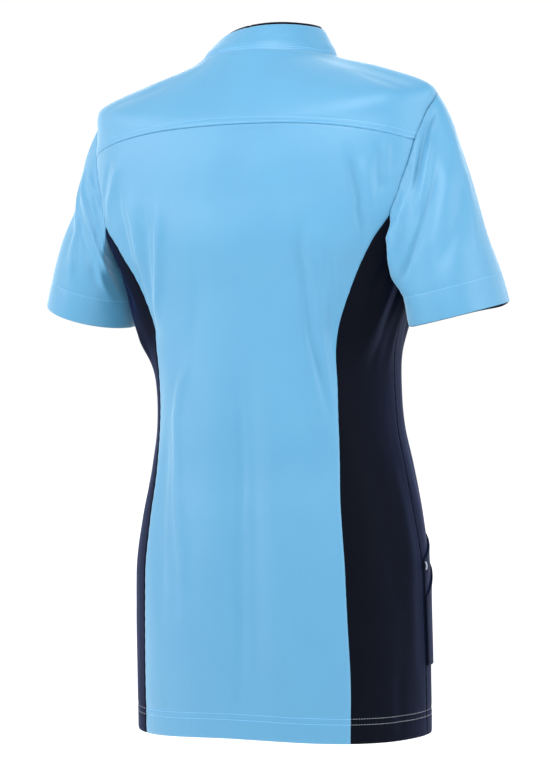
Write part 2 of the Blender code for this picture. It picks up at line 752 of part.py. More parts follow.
# Collar
def collar(neck, cloth, inner_cloth):
    """The standing collar's outer band and the one inside it, open at the front."""
    count = len(neck.run)
    index = np.concatenate([np.arange(count - FRONT_HALF_COLUMNS, count),
                            np.arange(neck.back_count + FRONT_HALF_COLUMNS)])
    base, top = neck.points[index], neck.top[index]
    s = np.linspace(0, 1, COLLAR_ROWS + 1)[:, None, None]
    outer = base * (1 - s) + top * s
    outwards = outer - outer.mean(1, keepdims=True)
    normal = grid_normals(outer, outwards, ring=False)
    wall = -normal * WALL
    wall[0] = neck.collar_wall[index]
    outer[0] += neck.shift[index]
    cloth_wall("collar_outer", outer, outer + wall, cloth, all_cells(outer))
    rise = unit(top - base)
    face = outer + wall - normal * LAID_GAP
    face[0] += rise * COLLAR_INNER_LIFT
    face[-1] += rise * COLLAR_INNER_SHOWS
    cloth_wall("collar_inner", face, face - normal * THIN_WALL, inner_cloth, all_cells(face))


# Front placket and buttons
def placket(panel, slit_row, cloth, button_cloth):
    """Strip that closes the slit of the front, the strip under it, and the buttons."""
    outer = panel.surfaces()[0]
    first, last = FRONT_HALF_COLUMNS, FRONT_HALF_COLUMNS + 1
    right, left = outer[slit_row:, first], outer[slit_row:, last]
    normal_r, normal_l = panel.normal[slit_row:, first], panel.normal[slit_row:, last]
    toward = unit(left - right)
    under = np.stack([right + toward * GAP, left - toward * GAP], axis=1)
    under_normal = np.stack([normal_r, normal_l], axis=1)
    under[0] += (under[1] - under[0]) * (GAP / np.linalg.norm(under[1, 0] - under[0, 0]))
    cloth_wall("placket_under", under, under - under_normal * WALL, cloth, all_cells(under))
    share = PLACKET_OVERLAP / np.linalg.norm(outer[slit_row, first] - outer[slit_row, first - 1])
    rows = np.arange(slit_row - 1, len(outer))
    across = []
    for edge, inside in ((first, first - 1), (last, last + 1)):
        across.append((outer[rows, edge], outer[rows, edge] * (1 - share) + outer[rows, inside] * share))
    top = np.stack([across[0][1], across[0][0], across[1][0], across[1][1]], axis=1)
    normal = np.stack([panel.normal[rows, k] for k in (first, first, last, last)], axis=1)
    step = np.linalg.norm(outer[slit_row, first] - outer[slit_row - 1, first])
    top[0] = top[1] + (top[0] - top[1]) * (PLACKET_OVERLAP / step)
    inner = top + normal * GAP
    cloth_wall("placket_top", inner + normal * WALL, inner, cloth, all_cells(inner))
    face = inner + normal * WALL
    for number, row in enumerate(BUTTON_ROWS, start=1):
        middle = face[row:row + 2, 1:3].reshape(-1, 3)
        out = unit(np.cross(face[row + 1, 1] - face[row, 1], face[row, 2] - face[row, 1]))
        out = out * np.sign(out @ normal[row, 1])
        button("button_%d" % number, middle.mean(0) + out * GAP, out, button_cloth)


def button(name, seat, out, cloth):
    """A round button with a turned rim, its back face on the seat."""
    side = unit(np.cross(out, [1.0, 0.0, 0.0]))
    other = np.cross(out, side)
    turn = np.linspace(0, 2 * np.pi, BUTTON_SIDES, endpoint=False)
    mesh = bpy.data.meshes.new(name)
    rings = []
    for radius, height in BUTTON_PROFILE:
        circle = side * np.cos(turn)[:, None] + other * np.sin(turn)[:, None]
        rings.append(seat + circle * radius + out * height)
    points = np.concatenate(rings) * MM
    faces = [tuple(range(BUTTON_SIDES))]
    for r in range(len(rings) - 1):
        for c in range(BUTTON_SIDES):
            d = (c + 1) % BUTTON_SIDES
            faces.append((r * BUTTON_SIDES + c, r * BUTTON_SIDES + d,
                          (r + 1) * BUTTON_SIDES + d, (r + 1) * BUTTON_SIDES + c))
    faces.append(tuple((len(rings) - 1) * BUTTON_SIDES + c for c in range(BUTTON_SIDES)))
    mesh.from_pydata([tuple(p) for p in points], [], faces)
    finished_object(name, mesh, cloth)


# Pockets
def pockets(panel, suffix, cloth, loop_cloth):
    """Two patches on the side front panel, one over the other, and the small loop beside the upper edge."""
    across = np.concatenate([[POCKET_EDGE], np.arange(1, SIDE_COLUMNS) / SIDE_COLUMNS, [1 - POCKET_EDGE]])
    lift = LAID_GAP
    for name, opening in POCKET_OPENINGS.items():
        top = np.interp(across, POCKET_PLACES, opening)
        rise = np.linspace(0, 1, POCKET_ROWS + 1)[:, None]
        level = POCKET_BOTTOM_LEVEL * (1 - rise) + top * rise
        patch(name + suffix, panel, across[None], level, lift, THIN_WALL, cloth)
        lift += THIN_WALL + LAID_GAP
    loop_across = np.array([LOOP_PLACE, LOOP_PLACE + LOOP_WIDTH_SHARE])[None]
    loop_level = np.array([LOOP_LOW_LEVEL, LOOP_HIGH_LEVEL])[:, None]
    patch("pocket_loop" + suffix, panel, loop_across, loop_level, THIN_WALL + 2 * LAID_GAP, THIN_WALL, loop_cloth)


def clear_scene():
    for thing in list(bpy.data.objects):
        bpy.data.objects.remove(thing, do_unlink=True)


def main():
    clear_scene()
    sky = new_material("sky blue knit", BLUE_KNIT)
    navy = new_material("navy knit", NAVY_KNIT)
    grey = new_material("grey tape", GREY_TAPE)
    pearl = new_material("blue button", BUTTON_FINISH)
    right, left = Armhole(-1), Armhole(1)
    edges = body_edges()
    opening = float(placket_angle(np.array([NECK_LEVEL]))[0])
    arc = straight((SHOULDER_SEAM_ANGLE, NECK_LEVEL), (opening, NECK_LEVEL), FRONT_HALF_COLUMNS)
    front_arc = np.concatenate([arc, arc[::-1] * (-1, 1) + (360, 0)])
    neck = Neck(edges["neck back"], front_arc)
    back_panel(edges, right, left, sky)
    back_yoke(edges, right, left, neck, sky)
    front, slit_row = front_panel(edges, right, left, neck, sky)
    for armhole, suffix in ((right, "_right"), (left, "_left")):
        panels = side_panels(edges, armhole, suffix, navy)
        pockets(panels["side_front"], suffix, navy, grey)
        sleeve(armhole, "sleeve" + suffix, "sleeve_facing" + suffix, sky, navy)
    collar(neck, sky, navy)
    placket(front, slit_row, sky, pearl)


main()
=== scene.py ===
# Polo tunic of sky blue and navy knit, kept in its worn form.
# Shapes are worked out in millimetres and put into meshes in metres.
import math

import bmesh
import bpy
import numpy as np
from mathutils import Matrix, Vector


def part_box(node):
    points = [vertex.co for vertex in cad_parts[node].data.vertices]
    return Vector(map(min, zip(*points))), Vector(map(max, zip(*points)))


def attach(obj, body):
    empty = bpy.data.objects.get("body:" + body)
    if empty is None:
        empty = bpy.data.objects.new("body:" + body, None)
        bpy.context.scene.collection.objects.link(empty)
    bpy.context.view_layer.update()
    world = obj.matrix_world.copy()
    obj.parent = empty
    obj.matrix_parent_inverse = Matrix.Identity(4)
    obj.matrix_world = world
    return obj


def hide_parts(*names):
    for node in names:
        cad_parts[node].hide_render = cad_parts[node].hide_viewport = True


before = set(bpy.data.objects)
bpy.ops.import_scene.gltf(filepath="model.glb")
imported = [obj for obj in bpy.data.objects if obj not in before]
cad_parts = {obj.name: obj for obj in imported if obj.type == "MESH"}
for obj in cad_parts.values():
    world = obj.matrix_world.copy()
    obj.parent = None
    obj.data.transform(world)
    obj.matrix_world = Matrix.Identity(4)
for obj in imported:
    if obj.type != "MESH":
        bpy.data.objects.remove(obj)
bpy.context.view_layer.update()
scene = bpy.context.scene
mm = 0.001


def placed(name, data):
    thing = bpy.data.objects.new(name, data)
    scene.collection.objects.link(thing)
    return thing


# Camera
camera = {
    "distance": 2.547,      # from the upright axis of the tunic, metres
    "turn": 27.026,         # degrees from square behind, towards the right arm
    "height": -0.386,
    "pitch": -0.578,
    "yaw": -0.105,
    "lens": 107.93,
}


def placeCamera(size):
    turn, aim = math.radians(size["turn"]), math.radians(size["turn"] + size["yaw"])
    pitch = math.radians(size["pitch"])
    place = Vector((-size["distance"] * math.sin(turn), size["distance"] * math.cos(turn), size["height"]))
    forward = Vector((math.sin(aim) * math.cos(pitch), -math.cos(aim) * math.cos(pitch), -math.sin(pitch)))
    right = forward.cross(Vector((0, 0, 1))).normalized()
    up = right.cross(forward)
    data = bpy.data.cameras.new("camera")
    data.lens = size["lens"]
    thing = placed("camera", data)
    turned = Matrix((right, up, -forward)).transposed()
    thing.matrix_world = Matrix.Translation(place) @ turned.to_4x4()
    scene.camera = thing


placeCamera(camera)
print("camera placed")

# Form of the body: a point is an angle and a level. The angle is 0 at the centre of the back, 90 at
# the right side, 180 at the centre of the front and minus on the left.
ringNames = ("level", "sideZ", "backZ", "frontZ", "halfWidth", "backDepth", "frontDepth", "centreY",
             "fullness")
rings = (
    (-726, -726, -726, -726, 166, 125, 108, -24, 8),
    (-640, -640, -640, -640, 166, 125, 112, -21, 8),
    (-560, -560, -560, -560, 166, 122, 114, -17, 8),
    (-500, -500, -500, -500, 159, 122, 112, -19, 8),
    (-440, -440, -440, -440, 146, 121, 104, -21, 8),
    (-400, -400, -400, -400, 137.5, 120, 101, -18, 8),
    (-360, -360, -360, -360, 136, 114, 103, -12, 8),
    (-310, -310, -310, -310, 142, 102, 112, 0, 8),
    (-255, -255, -255, -255, 160, 104, 128, 3, 8),
    (-205, -205, -205, -205, 178, 112, 140, 6, 8),
    (-150, -150, -157, -183, 203, 106, 140, 12, 8),
    (-100, -100, -115, -155, 204, 100, 132, 18, 8),
    (-75, -75, -93, -137, 201, 92, 127, 24, 7),
    (-50, -51, -72, -118, 198, 83, 121, 30, 6),
    (-25, -25, -37, -98, 139, 74, 98, 22, 4),
    (-10, -9, -12, -84, 87, 65, 82, 16, 2),
    (0, -2, 1, -75, 76, 60.5, 73, 13, 0),
)
seamNames = ("level", "backPrincess", "side", "frontPrincess")
seams = (
    (-726, 45.1, 94.2, 136),
    (-660, 45.5, 93.2, 136),
    (-600, 44.5, 91.7, 136),
    (-540, 43.6, 90.4, 136),
    (-480, 44.1, 88.4, 135),
    (-440, 46.2, 88.6, 134),
    (-400, 49.0, 90.4, 133),
    (-360, 49.4, 91.4, 133),
    (-310, 47.5, 90.6, 132),
    (-255, 49.6, 90.0, 129),
    (-225, 52.4, 90.0, 126),
    (-200, 55.0, 90.0, 123),
    (-178, 57.5, 90.0, 121),
)
armholeKnots = {
    "underarmToPrincess": ((90, -205), (77, -203), (64.5, -195), (57.5, -178)),
    "princessToYoke": ((57.5, -178), (58.8, -152), (62.5, -128), (67.5, -100)),
    "yokeToShoulder": ((67.5, -100), (74, -82), (82, -65), (91, -53), (101, -50)),
    "shoulderToFront": ((101, -50), (112, -64), (119, -92), (122, -130), (121, -182)),
    "frontToUnderarm": ((121, -182), (112, -197), (102, -203), (90, -205)),
}
body = {
    "hemLevel": -726.0,
    "yokeLevels": (-62.0, -100.0),   # at the centre and at the armhole
    "yokeAngle": 67.5,
    "frontFullness": 0.03,
    "slopeLimit": 3.0,
    "waveTop": -600.0,
    "hemWave": ((-180, 0), (-95, -1), (-40, 3), (0, -1.5), (45, 0.5), (95, 0), (180, 0)),
    "cloth": 1.0,                    # thickness of one layer
    "hemDepth": 23.0,
    "hemFade": (4.0, 2.5),           # past the hem's depth, and how fast it thins out
    "sideTall": 545,
    "step": 2.7,                     # size of a mesh cell
}

# Large folds: across and along at both ends, width and height
bodyFolds = (
    (62, -190, 66, -300, 26, 8),
    (-62, -190, -66, -300, 26, 8),
    (86, -46, 84, -28, 24, 5),
    (-86, -46, -84, -28, 24, -2),
    (47, -235, 47, -290, 16, -4),
    (-47, -235, -47, -290, 16, -4),
)
bodyScale = (2.6, 1.0)

# Creases: height (minus for a trough), widths on the low and the high side of the angle, and the
# line from its top down. Each one fades out at both ends.
bodyCreases = (
    # back, left of the centre
    (2.6, 4, 6, ((-39, -90), (-40.5, -102), (-45, -132), (-51, -164), (-54, -182))),
    (-1.8, 5, 4, ((-46, -96), (-47, -105), (-52, -134), (-56, -158))),
    (3.2, 4, 7, ((-35, -128), (-35.5, -152), (-36.5, -180), (-41, -218), (-43.5, -240), (-46, -280))),
    (-2.2, 6, 4, ((-41, -128), (-42, -152), (-43.5, -180), (-47.5, -214), (-50, -238))),
    (3.8, 3.4, 7, ((-22.5, -138), (-23.5, -158), (-25, -188), (-29, -221), (-34, -252), (-46, -302))),
    (-2.4, 6, 4, ((-29.5, -148), (-31, -188), (-35, -221), (-39.5, -252), (-47, -285))),
    (2.6, 7, 8, ((-16, -262), (-19, -290), (-23, -333), (-29, -364), (-31, -391), (-27, -455), (-20, -540),
                  (-19, -640))),
    (-1.8, 12, 7, ((-40, -370), (-38, -410), (-36, -455), (-31, -540), (-30, -640))),
    (-1.3, 9, 10, ((-8, -205), (-12, -250), (-18, -300), (-25, -350))),
    # back, middle
    (-6.4, 32, 16, ((5, -290), (7.5, -391), (7.5, -495), (8, -599), (8, -745))),
    (-2.0, 5, 5, ((2.5, -300), (3.5, -391), (3, -495), (3.5, -599), (3, -740))),
    (1.2, 14, 12, ((26, -148), (20, -220), (8, -292))),
    (-1.4, 14, 14, ((33, -145), (28.5, -189), (21.5, -236), (10.5, -296))),
    (-1.0, 12, 12, ((41, -385), (37, -494), (37, -625))),
    # back, right of the centre
    (-3.6, 3.2, 3.6, ((37, -86), (38, -100), (39.5, -123), (41, -146), (44, -174), (49.5, -199),
                      (53, -224))),
    (2.6, 4, 7, ((42.5, -112), (45, -139), (48, -169), (53, -196))),
    (-2.4, 4.5, 4.5, ((50.5, -96), (50, -118), (50.5, -147), (49, -168))),
    (1.9, 4, 5, ((53.5, -97), (53, -122), (52, -152))),
    (-1.4, 3.5, 4, ((57.5, -97), (55.5, -110), (54.5, -134))),
    (-3.0, 4, 5, ((23.5, -165), (26, -215), (29.5, -262), (33, -300), (39, -340), (46, -400))),
    (2.2, 4, 4, ((27.5, -165), (30, -210), (34.5, -256), (39, -300), (44, -346), (48, -390))),
    (-2.4, 4, 5, ((35, -190), (40.5, -256), (44.5, -300), (49, -350))),
    (1.0, 12, 12, ((10, -80), (12, -140), (14, -200))),
    # yoke
    (1.2, 8, 8, ((-30, -12), (-44, -18), (-60, -28))),
    (-0.9, 6, 6, ((-34, -22), (-48, -34), (-60, -50))),
    (0.9, 7, 9, ((74, -28), (80, -34), (81, -42), (86, -49))),
    (-1.0, 7, 7, ((58, -26), (63, -38), (66, -56))),
    # right side
    (-2.6, 7, 7, ((66, -205), (62, -240), (58, -285))),
    (2.0, 7, 8, ((72, -212), (70, -250), (64, -300), (58, -345))),
    (-1.8, 9, 8, ((82, -215), (78, -262), (72, -310), (66, -360))),
    (1.5, 9, 9, ((90, -225), (88, -290), (82, -350))),
    (-1.6, 8, 9, ((100, -215), (104, -262), (106, -320))),
    (1.3, 9, 9, ((108, -222), (112, -270), (116, -330))),
    (-1.2, 9, 9, ((116, -205), (119, -250), (122, -300))),
    (-1.4, 12, 12, ((64, -410), (66, -500), (70, -610))),
    (1.5, 12, 12, ((78, -420), (80, -520), (80, -680))),
    (-1.0, 12, 12, ((104, -400), (108, -480), (110, -520))),
    (1.2, 14, 14, ((118, -380), (122, -450), (126, -500))),
    (-1.4, 9, 9, ((70, -640), (71, -735))),
    # left side
    (-2.6, 7, 7, ((-66, -205), (-63, -240), (-60, -280))),
    (2.1, 8, 7, ((-73, -214), (-70, -255), (-63, -305), (-56, -350))),
    (-1.7, 8, 9, ((-84, -215), (-80, -268), (-72, -318))),
    (1.4, 9, 9, ((-92, -228), (-90, -285), (-86, -340))),
    (-1.5, 9, 8, ((-102, -218), (-106, -266), (-108, -322))),
    (1.2, 9, 9, ((-110, -225), (-114, -278), (-118, -338))),
    (-1.4, 12, 12, ((-62, -420), (-66, -520), (-68, -620))),
    (1.4, 12, 12, ((-78, -430), (-82, -530), (-82, -670))),
    (1.1, 14, 14, ((-118, -390), (-122, -470), (-124, -540))),
    # front
    (2.6, 7, 8, ((128, -190), (130, -215), (136, -250), (144, -290))),
    (-2.4, 7, 7, ((134, -180), (137, -212), (143, -245), (150, -275))),
    (1.8, 8, 8, ((140, -168), (145, -200), (152, -238))),
    (2.4, 8, 7, ((232, -188), (229, -218), (223, -255), (215, -300))),
    (-2.3, 7, 7, ((226, -178), (222, -214), (216, -248), (209, -272))),
    (1.6, 8, 8, ((219, -166), (214, -202), (207, -236))),
    (-1.6, 10, 10, ((168, -210), (166, -260), (160, -330), (154, -380))),
    (1.5, 12, 12, ((178, -230), (177, -300), (173, -370), (166, -430))),
    (-1.5, 10, 10, ((190, -215), (193, -270), (200, -340))),
    (-2.2, 10, 10, ((172, -400), (171, -520), (170, -640), (170, -735))),
    (2.0, 11, 11, ((181, -380), (182, -500), (183, -735))),
    (-1.8, 9, 10, ((193, -430), (194, -560), (194, -735))),
    (1.6, 12, 12, ((156, -420), (154, -540), (153, -735))),
    (1.4, 12, 12, ((206, -420), (208, -540), (208, -690))),
    (-1.2, 12, 12, ((146, -440), (144, -560), (143, -690))),
    (-1.6, 6, 6, ((122, -72), (130, -96), (138, -124))),
    (1.5, 6, 7, ((116, -60), (125, -84), (135, -112))),
    (-1.6, 6, 6, ((238, -72), (230, -96), (222, -124))),
    (1.4, 7, 6, ((244, -60), (235, -86), (226, -112))),
)

# On a sleeve across is the turn round it, 0 at the top, 90 behind and 180 under the arm, and along
# is the share of its length from the armhole.
hands = {-1: "Right", 1: "Left"}     # the wearer's, by the sign of x
sleeves = {
    "Right": {
        "centre": (-222, 14, -281), "normal": (-0.20, -0.15, -0.97),
        "folds": ((125, 0.24, 135, 0.50, 26, 10), (-25, 0.35, -25, 0.65, 26, -5)),
        "rollTurn": 8.0,
        "creases": (
            (-3.8, 5, 7, ((24, -0.02), (29, 0.03), (45, 0.06), (64, 0.12), (79, 0.19), (90, 0.28))),
            (-3.0, 5, 7, ((46, 0.22), (52, 0.28), (63, 0.36), (86, 0.48), (113, 0.59), (140, 0.66))),
            (2.6, 6, 6, ((38, 0.12), (56, 0.20), (74, 0.30), (92, 0.40))),
            (1.7, 10, 10, ((30, 0.30), (44, 0.42), (66, 0.54), (92, 0.66))),
            (-1.6, 8, 8, ((22, 0.42), (36, 0.56), (58, 0.68), (80, 0.76))),
            (1.4, 10, 10, ((10, 0.40), (20, 0.58), (34, 0.78))),
            (-1.3, 9, 9, ((4, 0.20), (8, 0.40), (12, 0.62))),
            (1.2, 10, 10, ((104, 0.20), (118, 0.34), (134, 0.46), (150, 0.60))),
            (-1.2, 10, 10, ((116, 0.12), (130, 0.26), (146, 0.40), (164, 0.55))),
            (-1.8, 8, 8, ((-18, 0.08), (-34, 0.24), (-52, 0.42))),
            (1.8, 8, 8, ((-34, 0.05), (-52, 0.22), (-74, 0.42))),
            (-2.4, 7, 7, ((-60, 0.04), (-78, 0.20), (-98, 0.38), (-120, 0.52))),
            (2.2, 7, 8, ((-78, 0.04), (-98, 0.20), (-120, 0.36), (-142, 0.50))),
            (-1.4, 8, 8, ((-40, 0.55), (-58, 0.70), (-80, 0.82))),
            (-2.0, 7, 7, ((-104, 0.03), (-126, 0.18), (-148, 0.34))),
        ),
    },
    "Left": {
        "centre": (220, 14, -272), "normal": (0.31, -0.13, -0.94),
        "folds": ((10, 0.48, 60, 0.50, 26, -7),),
        "rollTurn": -60.0,
        "creases": (
            (3.2, 6, 7, ((36, 0.22), (48, 0.29), (90, 0.33), (113, 0.36), (132, 0.39), (150, 0.46))),
            (-1.7, 8, 8, ((70, 0.10), (85, 0.14), (120, 0.19), (142, 0.20), (158, 0.30))),
            (1.8, 5.5, 6, ((58, 0.20), (73, 0.15), (95, 0.12), (118, 0.04))),
            (3.6, 7, 9, ((20, 0.34), (40, 0.42), (68, 0.50), (78, 0.64), (86, 0.80))),
            (-2.4, 8, 8, ((60, 0.40), (88, 0.46), (112, 0.56), (128, 0.70))),
            (-2.2, 7, 7, ((140, 0.28), (150, 0.36), (160, 0.60))),
            (1.6, 8, 8, ((112, 0.50), (134, 0.60), (150, 0.76))),
            (-1.4, 9, 9, ((4, 0.12), (14, 0.28), (28, 0.36))),
            (1.5, 9, 9, ((-10, 0.20), (-16, 0.44), (-20, 0.66))),
            (-1.8, 8, 8, ((-22, 0.08), (-40, 0.26), (-60, 0.44))),
            (2.0, 8, 8, ((-46, 0.05), (-66, 0.22), (-90, 0.42))),
            (-2.4, 7, 7, ((-64, 0.04), (-84, 0.20), (-106, 0.38), (-126, 0.54))),
            (2.2, 7, 7, ((-86, 0.04), (-106, 0.20), (-128, 0.34), (-148, 0.50))),
            (-1.4, 8, 8, ((-44, 0.58), (-62, 0.72), (-84, 0.84))),
            (-2.0, 7, 7, ((-108, 0.03), (-130, 0.18), (-150, 0.34))),
        ),
    },
}
sleeveForm = {
    "scale": (1.1, 170.0),
    "foldStart": 0.2,
    "hemHalfWidth": 52.0,
    "hemHalfDepth": 62.0,
    "centreY": 8.0,
    "centreZ": -128.0,
    "halfY": 68.0,
    "halfZ": 77.0,
    "capLift": 0.42,
    "topHandle": 0.22,
    "hemHandle": 0.36,
    "hemDepth": 30.0,
    "length": 175, "rowStep": 2.9, "columnStep": 2.6,
    "waves": 0.4,
    "columns": (32, 32, 32, 48, 32),    # on each stretch of the armhole
    "nearHem": (0.8, 2, 4, 7, 12, 18, 24, 27, 28.6, 30, 31.4, 33, 36),
    "underSeam": (-0.7, 2.0),
    "facingDepth": 27.0,
    "facingGap": 0.35,
    "facingCloth": 0.9,
    "rollOut": 2.0, "rollWidth": 26,
}


def columns(names, rows):
    return dict(zip(names, np.array(rows, float).T))


def smoothCurve(xs, ys, x):
    # a curve through the points of a table that doesn't swing past them
    rise = np.abs(np.diff(ys) / np.diff(xs))
    limit = body["slopeLimit"] * np.concatenate([rise[:1], np.minimum(rise[:-1], rise[1:]), rise[-1:]])
    slopes = np.clip(np.gradient(ys, xs), -limit, limit)
    i = np.clip(np.searchsorted(xs, x, side="right") - 1, 0, len(xs) - 2)
    step = xs[i + 1] - xs[i]
    s = (x - xs[i]) / step
    start = (1 + 2 * s) * (1 - s) ** 2 * ys[i] + s * (1 - s) ** 2 * step * slopes[i]
    end = s * s * (3 - 2 * s) * ys[i + 1] - s * s * (1 - s) * step * slopes[i + 1]
    return start + end


ringTable = columns(ringNames, rings)
seamTable = columns(seamNames, seams)
waveTable = columns(("angle", "drop"), body["hemWave"])


def fromTable(table, name, place):
    # the first column of a table holds the places
    return smoothCurve(next(iter(table.values())), table[name], place)


def unit(v):
    return v / np.maximum(np.linalg.norm(v, axis=-1, keepdims=True), 1e-9)


def wrapped(angle):
    return (angle + 180) % 360 - 180


def ridge(distance, height, width):
    # a rounded ridge, or a groove where the height is minus
    return height * np.exp(-(distance / width) ** 2)


def runsFrom(points, axis):
    # the way travelled along a line or along the rows or columns of a grid
    steps = np.linalg.norm(np.diff(points, axis=axis), axis=-1)
    zero = np.zeros_like(steps[:1] if axis == 0 else steps[:, :1])
    return np.concatenate([zero, np.cumsum(steps, axis)], axis)


def ringPoint(ring, angle):
    s, c = np.sin(np.radians(angle)), np.cos(np.radians(angle))
    behind = c > 0
    fullness = ring["fullness"] / 100
    depth = np.where(behind, ring["backDepth"], ring["frontDepth"])
    endZ = np.where(behind, ring["backZ"], ring["frontZ"])
    x = -ring["halfWidth"] * s * (1 + fullness * c * c)
    y = ring["centreY"] + depth * c * (1 + np.where(behind, fullness, body["frontFullness"]) * s * s)
    z = ring["sideZ"] + (endZ - ring["sideZ"]) * c * c
    return np.stack([x, y, z], -1)


def plainBody(angle, level):
    point = ringPoint({name: fromTable(ringTable, name, level) for name in ringNames[1:]}, angle)
    fade = np.clip((body["waveTop"] - level) / (body["waveTop"] - body["hemLevel"]), 0, 1)
    point[..., 2] -= fromTable(waveTable, "drop", wrapped(angle)) * fade ** 2
    return point


def plainNormal(angle, level):
    high = np.minimum(level + 0.5, 0.0)
    upward = plainBody(angle, high) - plainBody(angle, high - 1.0)
    around = plainBody(angle + 0.3, level) - plainBody(angle - 0.3, level)
    return unit(np.cross(around, upward))


def foldRelief(folds, scale, across, along):
    total = np.zeros(np.broadcast(across, along).shape)
    for x0, y0, x1, y1, width, height in folds:
        start = np.array([x0, y0]) * scale
        run = np.array([x1, y1]) * scale - start
        for turn in (-360, 0, 360):
            offset = np.stack(np.broadcast_arrays(across + turn, along), -1) * scale - start
            share = np.clip(offset @ run / (run @ run), 0, 1)
            total += ridge(np.linalg.norm(offset - share[..., None] * run, axis=-1), height, width)
    return total


def creaseRelief(creases, scale, across, along, fade=0.32):
    # each place takes its height from the nearest stretch of a crease
    across, along = np.broadcast_arrays(across, along)
    total = np.zeros(across.shape)
    for height, lowWidth, highWidth, line in creases:
        line = np.array(line, float) * scale
        steps, starts = np.diff(line, axis=0), runsFrom(line, 0)
        lengths = np.linalg.norm(steps, axis=1)
        reach = 3 * max(lowWidth, highWidth)
        for turn in (-360, 0, 360):
            place = np.stack([(across + turn) * scale[0], along * scale[1]], -1)
            near = ((place > line.min(0) - reach) & (place < line.max(0) + reach)).all(-1)
            if not near.any():
                continue
            place = place[near]
            closest, value = np.full(len(place), np.inf), np.zeros(len(place))
            for k, step in enumerate(steps):
                offset = place - line[k]
                share = np.clip(offset @ step / lengths[k] ** 2, 0, 1)
                apart = np.linalg.norm(offset - share[:, None] * step, axis=1)
                lowSide = offset[:, 0] * step[1] - offset[:, 1] * step[0] > 0
                travelled = (starts[k] + share * lengths[k]) / starts[-1]
                ends = np.clip(np.minimum(travelled, 1 - travelled) / fade, 0, 1)
                here = ridge(apart, 1, np.where(lowSide, lowWidth, highWidth)) * ends * ends * (3 - 2 * ends)
                value = np.where(apart < closest, here, value)
                closest = np.minimum(apart, closest)
            total[near] += height * value
    return total


def softWaves(x, y, size=0.45):
    # the slight unevenness of a hanging knit, in slow, quick and fine waves
    slow = np.sin(x / 19 + 1.1 * np.sin(y / 83 + 0.7)) * np.sin(y / 121 + x / 210 + 0.4)
    quick = np.sin(x / 8.3 + 0.9 * np.sin(y / 37)) * np.sin(y / 61 + 0.3 * np.sin(x / 29))
    fine = np.sin(x / 4.1 + y / 23) * np.sin(y / 17 + 1.7 * np.sin(x / 13))
    return size * (slow + 0.45 * quick + 0.14 * fine)


def skin(angle, level):
    # points of the worn cloth, and the normals of the body under its creases
    normal = plainNormal(angle, level)
    height = (foldRelief(bodyFolds, bodyScale, wrapped(angle), level)
              + creaseRelief(bodyCreases, bodyScale, angle, level)
              + softWaves(wrapped(angle) * bodyScale[0], level))
    return plainBody(angle, level) + normal * height[..., None], normal


# Edges of the pieces: an edge is a line with each point's share of the way along it
def pointsAt(edge, shares):
    return np.stack([np.interp(shares, edge[0], column) for column in edge[1].T], -1)


def armholeRuns(samples=240):
    # the stretches of the armhole, each with its points evenly apart
    knots, starts = [], {}
    for name, run in armholeKnots.items():
        starts[name] = len(knots)
        knots += run[:-1]
    closed = np.array(knots * 3, float)
    index = np.arange(len(closed), dtype=float)
    runs = {}
    for name, run in armholeKnots.items():
        first = len(knots) + starts[name]
        fine = np.linspace(first, first + len(run) - 1, samples)
        curve = np.stack([smoothCurve(index, column, fine) for column in closed.T], -1)
        angle, level = curve.T
        height = foldRelief(bodyFolds, bodyScale, wrapped(angle), level)
        travelled = runsFrom(plainBody(angle, level) + plainNormal(angle, level) * height[:, None], 0)
        runs[name] = pointsAt((travelled, curve), np.linspace(0, travelled[-1], samples))
    return runs


def yokeLevel(angle):
    centre, end = body["yokeLevels"]
    rise = np.sin(np.radians(angle)) ** 2 / math.sin(math.radians(body["yokeAngle"])) ** 2
    return centre + (end - centre) * rise


def joined(*parts):
    # one edge out of several lines, each with its share of the rows
    start, places = 0.0, []
    for line, weight in parts:
        places.append(start + np.linspace(0, weight, len(line)))
        start += weight
    return np.concatenate(places) / start, np.concatenate([line for line, weight in parts])


def straight(start, end, samples=3):
    return np.linspace(np.array(start, float), np.array(end, float), samples)


def seamLine(name, top):
    levels = np.linspace(body["hemLevel"], top[1], 240)
    line = np.stack([fromTable(seamTable, name, levels), levels], -1)
    line[-1] = top
    return line


def flipped(edge):
    return edge[0], edge[1] * (-1, 1)


def spaced(length, step, first=(), last=()):
    # shares from 0 to 1 with extra ones near either end, given in millimetres
    low = np.array([0.0, *first])
    high = length - np.array([*last[::-1], 0.0])
    count = max(1, round((high[0] - low[-1]) / step))
    return np.concatenate([low, np.linspace(low[-1], high[0], count + 1)[1:-1], high]) / length


def stacked(*parts):
    # rows of several stretches, each with its share of the whole
    start, rows = 0.0, [np.zeros(1)]
    for shares, weight in parts:
        rows.append(start + shares[1:] * weight)
        start += weight
    return np.concatenate(rows) / start


def rising(levels, least=0.06):
    # the same levels, each a little above the one before
    steps = np.arange(len(levels)) * least
    return np.maximum.accumulate(levels - steps) + steps


def fillGrid(bottom, top, left, right, u, w):
    low, high = pointsAt(bottom, u)[None], pointsAt(top, u)[None]
    start, end = pointsAt(left, w)[:, None], pointsAt(right, w)[:, None]
    u, w = u[None, :, None], w[:, None, None]
    corners = ((1 - u) * (1 - w) * low[:, :1] + u * (1 - w) * low[:, -1:]
               + (1 - u) * w * high[:, :1] + u * w * high[:, -1:])
    return (1 - u) * start + u * end + (1 - w) * low + w * high - corners


def gridNormals(points, outside, ring=False):
    around = np.roll(points, -1, 1) - np.roll(points, 1, 1) if ring else np.gradient(points, axis=1)
    normal = unit(np.cross(np.gradient(points, axis=0), around))
    return normal * np.sign((normal * outside).sum(-1).mean())


def edgeRuns(points):
    # distances from the four edges of a grid, in millimetres
    across, upward = runsFrom(points, 1), runsFrom(points, 0)
    return {"left": across, "right": across[:, -1:] - across, "bottom": upward, "top": upward[-1:] - upward}


